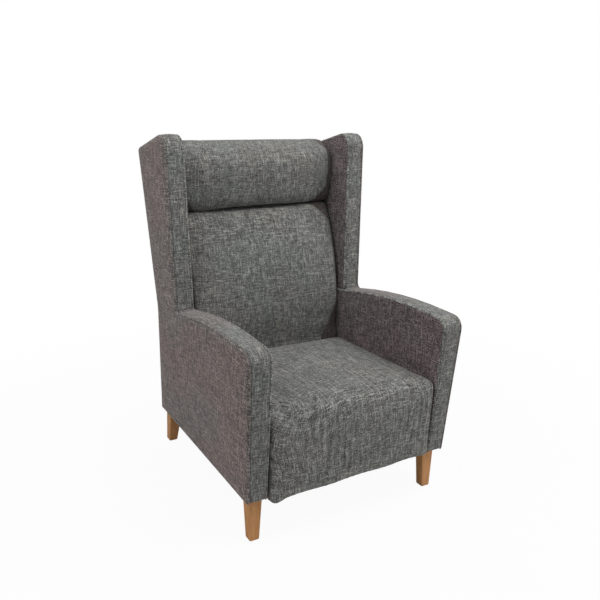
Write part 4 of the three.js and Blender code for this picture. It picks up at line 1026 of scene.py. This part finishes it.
def makeBack(values):
    # The section follows the rear line up and the face down, which starts inside by the slack.
    slack, top, bottom = values["slack"], values["top"], values["bottom"]
    heights = np.linspace(top, bottom, 14)[1:-1]
    corners = np.vstack([
        [[values["footFace"], bottom, 8], [*rearPoint(bottom), 8]],
        [[*rearPoint(backKink[1]), 120], [*rearPoint(top), 8]],
        [[float(backFace(top)) + slack, top, values["topRound"]]],
        np.column_stack([backFace(heights) + slack * 0.7, heights, np.full(len(heights), 60.0)]),
    ])
    halfWidth = float(innerSide(values["crease"], "armThickness")) - 2
    form = crossCushion(corners, halfWidth, values["endRound"], backPlace, values["cells"])
    piece, points = stuffed("backPadCover", form, bodyCloth, backReach, padValues)
    x, y, z = points.T  # they follow the points as these move
    front = onFront(y, z, 80)
    fromSeam = faceBorder(values, z, innerSide(z, "armThickness") - gap, x)[1]
    groove = values["seamDepth"] * np.exp(-(fromSeam / 5) ** 2)
    points[:, 1] += (1.6 * softWave(x, z, 70, 8.0) + groove) * front
    # Third value: inside the face's seam the border takes the darker brown tint, partly painted shade in the recess by
    # the arms; at the seam, painted shade in its groove.
    threads = np.column_stack([pulledThreads(x, z + 500, 7.0), np.where(front > 0.4, fromSeam, 900)])
    finishCushion(piece, points, threads, bodyCloth, "back_pad")


makeBack(backValues)
print("back pad covered")


def headPlace(y, z, share):
    # Across between the wings; forward by the crown, back by the border's fall; the upper ends droop.
    values = headValues
    width = innerSide(z, "wingThickness") - gap
    fall = faceBorder(values, z, width, share * width)[2]
    moved = crowned(y, z, share, values["frontFace"], values["crown"], values["softness"], fall)
    nearEnd = held((np.abs(share) - 0.87) / 0.13) ** 2
    droop = values["endDrop"] * nearEnd * held((z - values["top"] + 90) / 80)
    return np.column_stack([share * width, moved, z + foldLift(share, z, 80) - droop])


def headReach(x, y, z):
    # The front may swell, less at the sides.
    return headValues["swellMm"] * onFront(y, z, 80) * (1 - 0.8 * held((np.abs(x) - 285) / 20)) + 0.02


def makeHeadrest(values):
    # Six rounded corners: the fold, the rear's foot and top, the top's front, the bevel and the face.
    slack, top, bottom, face = values["slack"], values["top"], values["bottom"], values["frontFace"]
    corners = np.array([
        [values["foldFace"] + slack, bottom, 30],
        [*rearPoint(bottom), 8],
        [*rearPoint(values["rearTop"]), 26],
        [values["topFace"], top - slack, 30],
        [face + slack, top - values["bevel"], 58],
        [face + slack, (bottom + top) / 2, 60],
    ])
    halfWidth = float(innerSide(top, "wingThickness")) - 2
    form = crossCushion(corners, halfWidth, values["endRound"], headPlace, values["cells"])
    piece, points = stuffed("headrestCover", form, bodyCloth, headReach, padValues)
    x, y, z = points.T  # they follow the points as these move
    front = onFront(y, z, 80)
    fromEnd, fromSeam = faceBorder(values, z, innerSide(z, "wingThickness") - gap, x)[:2]
    # Wrinkles: slanting folds of about 20 mm near both ends, fading toward the middle.
    folds = np.sin((fromEnd - 0.35 * z) / 3.3 + 1.2 * np.sin(z / 29)) * np.abs(np.sin((z - 1040) / 48))
    wrinkle = values["wrinkleMm"] * folds * np.exp(-((fromEnd - 75) / 50) ** 2)
    groove = values["seamDepth"] * np.exp(-(fromSeam / 5) ** 2)
    points[:, 1] += (1.4 * softWave(x, z, 50, 4.0) + wrinkle + groove) * front
    way = np.where(z > (bottom + top) / 2, 1, -1)
    # Third value: inside the face's seam the border takes the darker brown tint, partly painted shade in the recess by
    # the wings; at the seam, painted shade in its groove.
    threads = np.column_stack([pulledThreads(x, z + way * (y - face) + 900, 3.0), np.where(front > 0.4, fromSeam, 900)])
    finishCushion(piece, points, threads, bodyCloth, "headrest_pad")


makeHeadrest(headValues)
print("headrest covered")

# Rear: the band over the top rail and the outside back, each a section carried across the chair
rearValues = {
    "bandInner": 56.6, "bandOuter": 9.3, "bandFoot": 1116.3, "bandFront": (395.5, 1142.0), "bandHalfWidth": 308,
    "panelTop": 1116, "panelFoot": 150, "panelThickness": 9.0, "panelHalfWidth": 365, "unevenMm": 0.8,
}


def makeRear(values):
    # Both span the chair between the sides; the panel is uneven by a slow wave.
    inner, outer, step, foot = values["bandInner"], values["bandOuter"], sideValues["topRailFoot"], values["bandFoot"]
    corners = np.array([
        [*rearPoint(step, inner), 3], [*rearPoint(step, outer), 2], [*rearPoint(foot, outer), 2],
        [*rearPoint(foot, 0), 2.5], [*backCorner, 15], [*values["bandFront"], 8],
    ])
    place = lambda y, z, share: np.column_stack([share * (innerSide(z, "wingThickness") - gap), y, z])
    points, faces = crossCushion(corners, values["bandHalfWidth"], 2.5, place, (70, 24))
    threads = np.column_stack([points[:, 0], points[:, 1] + points[:, 2]])
    settle(makeMesh("backTopCover", points, faces, bodyCloth, threads), "back_top_band")
    top, foot, thickness = values["panelTop"], values["panelFoot"], values["panelThickness"]
    corners = np.array([
        [*rearPoint(foot, thickness), 2], [*rearPoint(foot, 0), 3], [*backKink, 90], [*rearPoint(top, 0), 3],
        [*rearPoint(top, thickness), 2], [*rearPoint(backKink[1], thickness), 90],
    ])
    place = lambda y, z, share: np.column_stack([
        share * (innerSide(z, "panelThickness") - gap),
        y + values["unevenMm"] * softWave(share * 340, z, 80, 9.0), z,
    ])
    points, faces = crossCushion(corners, values["panelHalfWidth"], 3, place, (260, 40))
    settle(makeMesh("outsideBackCover", points, faces, bodyCloth, points[:, [0, 2]]), "outside_back")


makeRear(rearValues)
print("rear covered")

# Frame nodes keep their shape and get their finishes, by how their names start
frameFinishes = {
    "leg_bolt": steelWire, "leg_": oakWood, "glide_": mouldedNylon, "seat_spring": steelWire,
    "seat_insulator": needledFelt, "seat_foam": cutFoam, "back_web": elasticWeb, "dust_cover": spunbondCloth,
    "": beechWood,
}
for name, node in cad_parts.items():
    finish = next(material for start, material in frameFinishes.items() if name.startswith(start))
    node.data.materials.clear()
    node.data.materials.append(finish)
print("frame finished")


# Studio: pale floor, white world, soft lamps
studioValues = {
    "worldStrength": 0.10,
    "floorWhite": 0.75,
    "floorGlow": 0.95,  # how much of the white near the chair is the floor's own, so that only a faint shadow shows
    "chairM": 0.6,
    "whiteFromM": 2.4,  # from here on the floor is all glow, and no horizon shows
    "floorMm": 12000.0,
    "floorDepthMm": 0.5,
    "aimM": (0, 0, 0.6),
    "lamps": {  # place in metres, size in metres, watts
        "top": ((-0.2, -0.4, 3.2), 3.0, 18.0),
        "topFront": ((0.9, -1.45, 3.1), 1.6, 48.0),
        "topLeft": ((-2.4, -0.4, 2.8), 2.0, 34.0),
        "left": ((-3.6, 0.6, 1.3), 2.0, 7.0),
        "right": ((2.6, -2.6, 1.5), 1.6, 18.0),
        "rear": ((0.9, 3.4, 1.1), 2.4, 34.0),
        "rearRight": ((3.4, 1.0, 1.3), 2.0, 20.0),
    },
}


def makeWorld(values):
    # White to the camera and in reflections, faint to everything else.
    world = bpy.data.worlds.new("studio")
    bpy.context.scene.world = world
    world.use_nodes = True
    world.node_tree.nodes.clear()
    add = partial(addNode, world.node_tree)
    rays = add("LightPath")
    seen = add("Math", {0: rays["Is Camera Ray"], 1: rays["Is Glossy Ray"]}, operation="MAXIMUM")[0]
    seen = add("Math", {0: seen, 1: rays["Is Transmission Ray"]}, operation="MAXIMUM")[0]
    plain = add("Background", {"Color": (1, 1, 1, 1), "Strength": values["worldStrength"]})[0]
    white = add("Background", {"Color": (1, 1, 1, 1), "Strength": 1.0})[0]
    add("OutputWorld", {"Surface": add("MixShader", {0: seen, 1: plain, 2: white})[0]})


def makeFloor(values):
    # Matt, with a glow to the camera whose share rises to 1 with the distance from the chair.
    material, add = newMaterial("floor_white")
    matt = add("BsdfDiffuse", {"Color": (values["floorWhite"],) * 3 + (1,)})[0]
    glow = add("Emission", {"Color": (1, 1, 1, 1), "Strength": 1.0})[0]
    away = add("VectorMath", {0: add("TexCoord")["Object"]}, operation="LENGTH")["Value"]
    ramp = {0: away, 1: values["chairM"], 2: values["whiteFromM"], 3: values["floorGlow"], 4: 1.0}
    share = {0: add("LightPath")["Is Camera Ray"], 1: add("MapRange", ramp)[0]}
    share = add("Math", share, operation="MULTIPLY")[0]
    add("OutputMaterial", {"Surface": add("MixShader", {0: share, 1: matt, 2: glow})[0]})
    size, depth = values["floorMm"], -values["floorDepthMm"]
    corners = np.array([[-size, -size, depth], [size, -size, depth], [size, size, depth], [-size, size, depth]])
    floor = makeMesh("floor", corners, [[0, 1, 2, 3]], material)


def makeLamps(values):
    # Each area lamp is turned from straight down to face the aim.
    for name, (place, size, watts) in values["lamps"].items():
        data = bpy.data.lights.new(name, "AREA")
        data.size = size
        data.energy = watts
        lamp = bpy.data.objects.new(name, data)
        bpy.context.scene.collection.objects.link(lamp)
        x, y, z = (end - start for end, start in zip(values["aimM"], place))
        lamp.location = place
        lamp.rotation_euler = (math.atan2(math.hypot(x, y), -z), 0, math.atan2(y, x) - math.pi / 2)


makeWorld(studioValues)
makeFloor(studioValues)
makeLamps(studioValues)
bpy.context.scene.view_settings.view_transform = "Standard"
print("studio set")
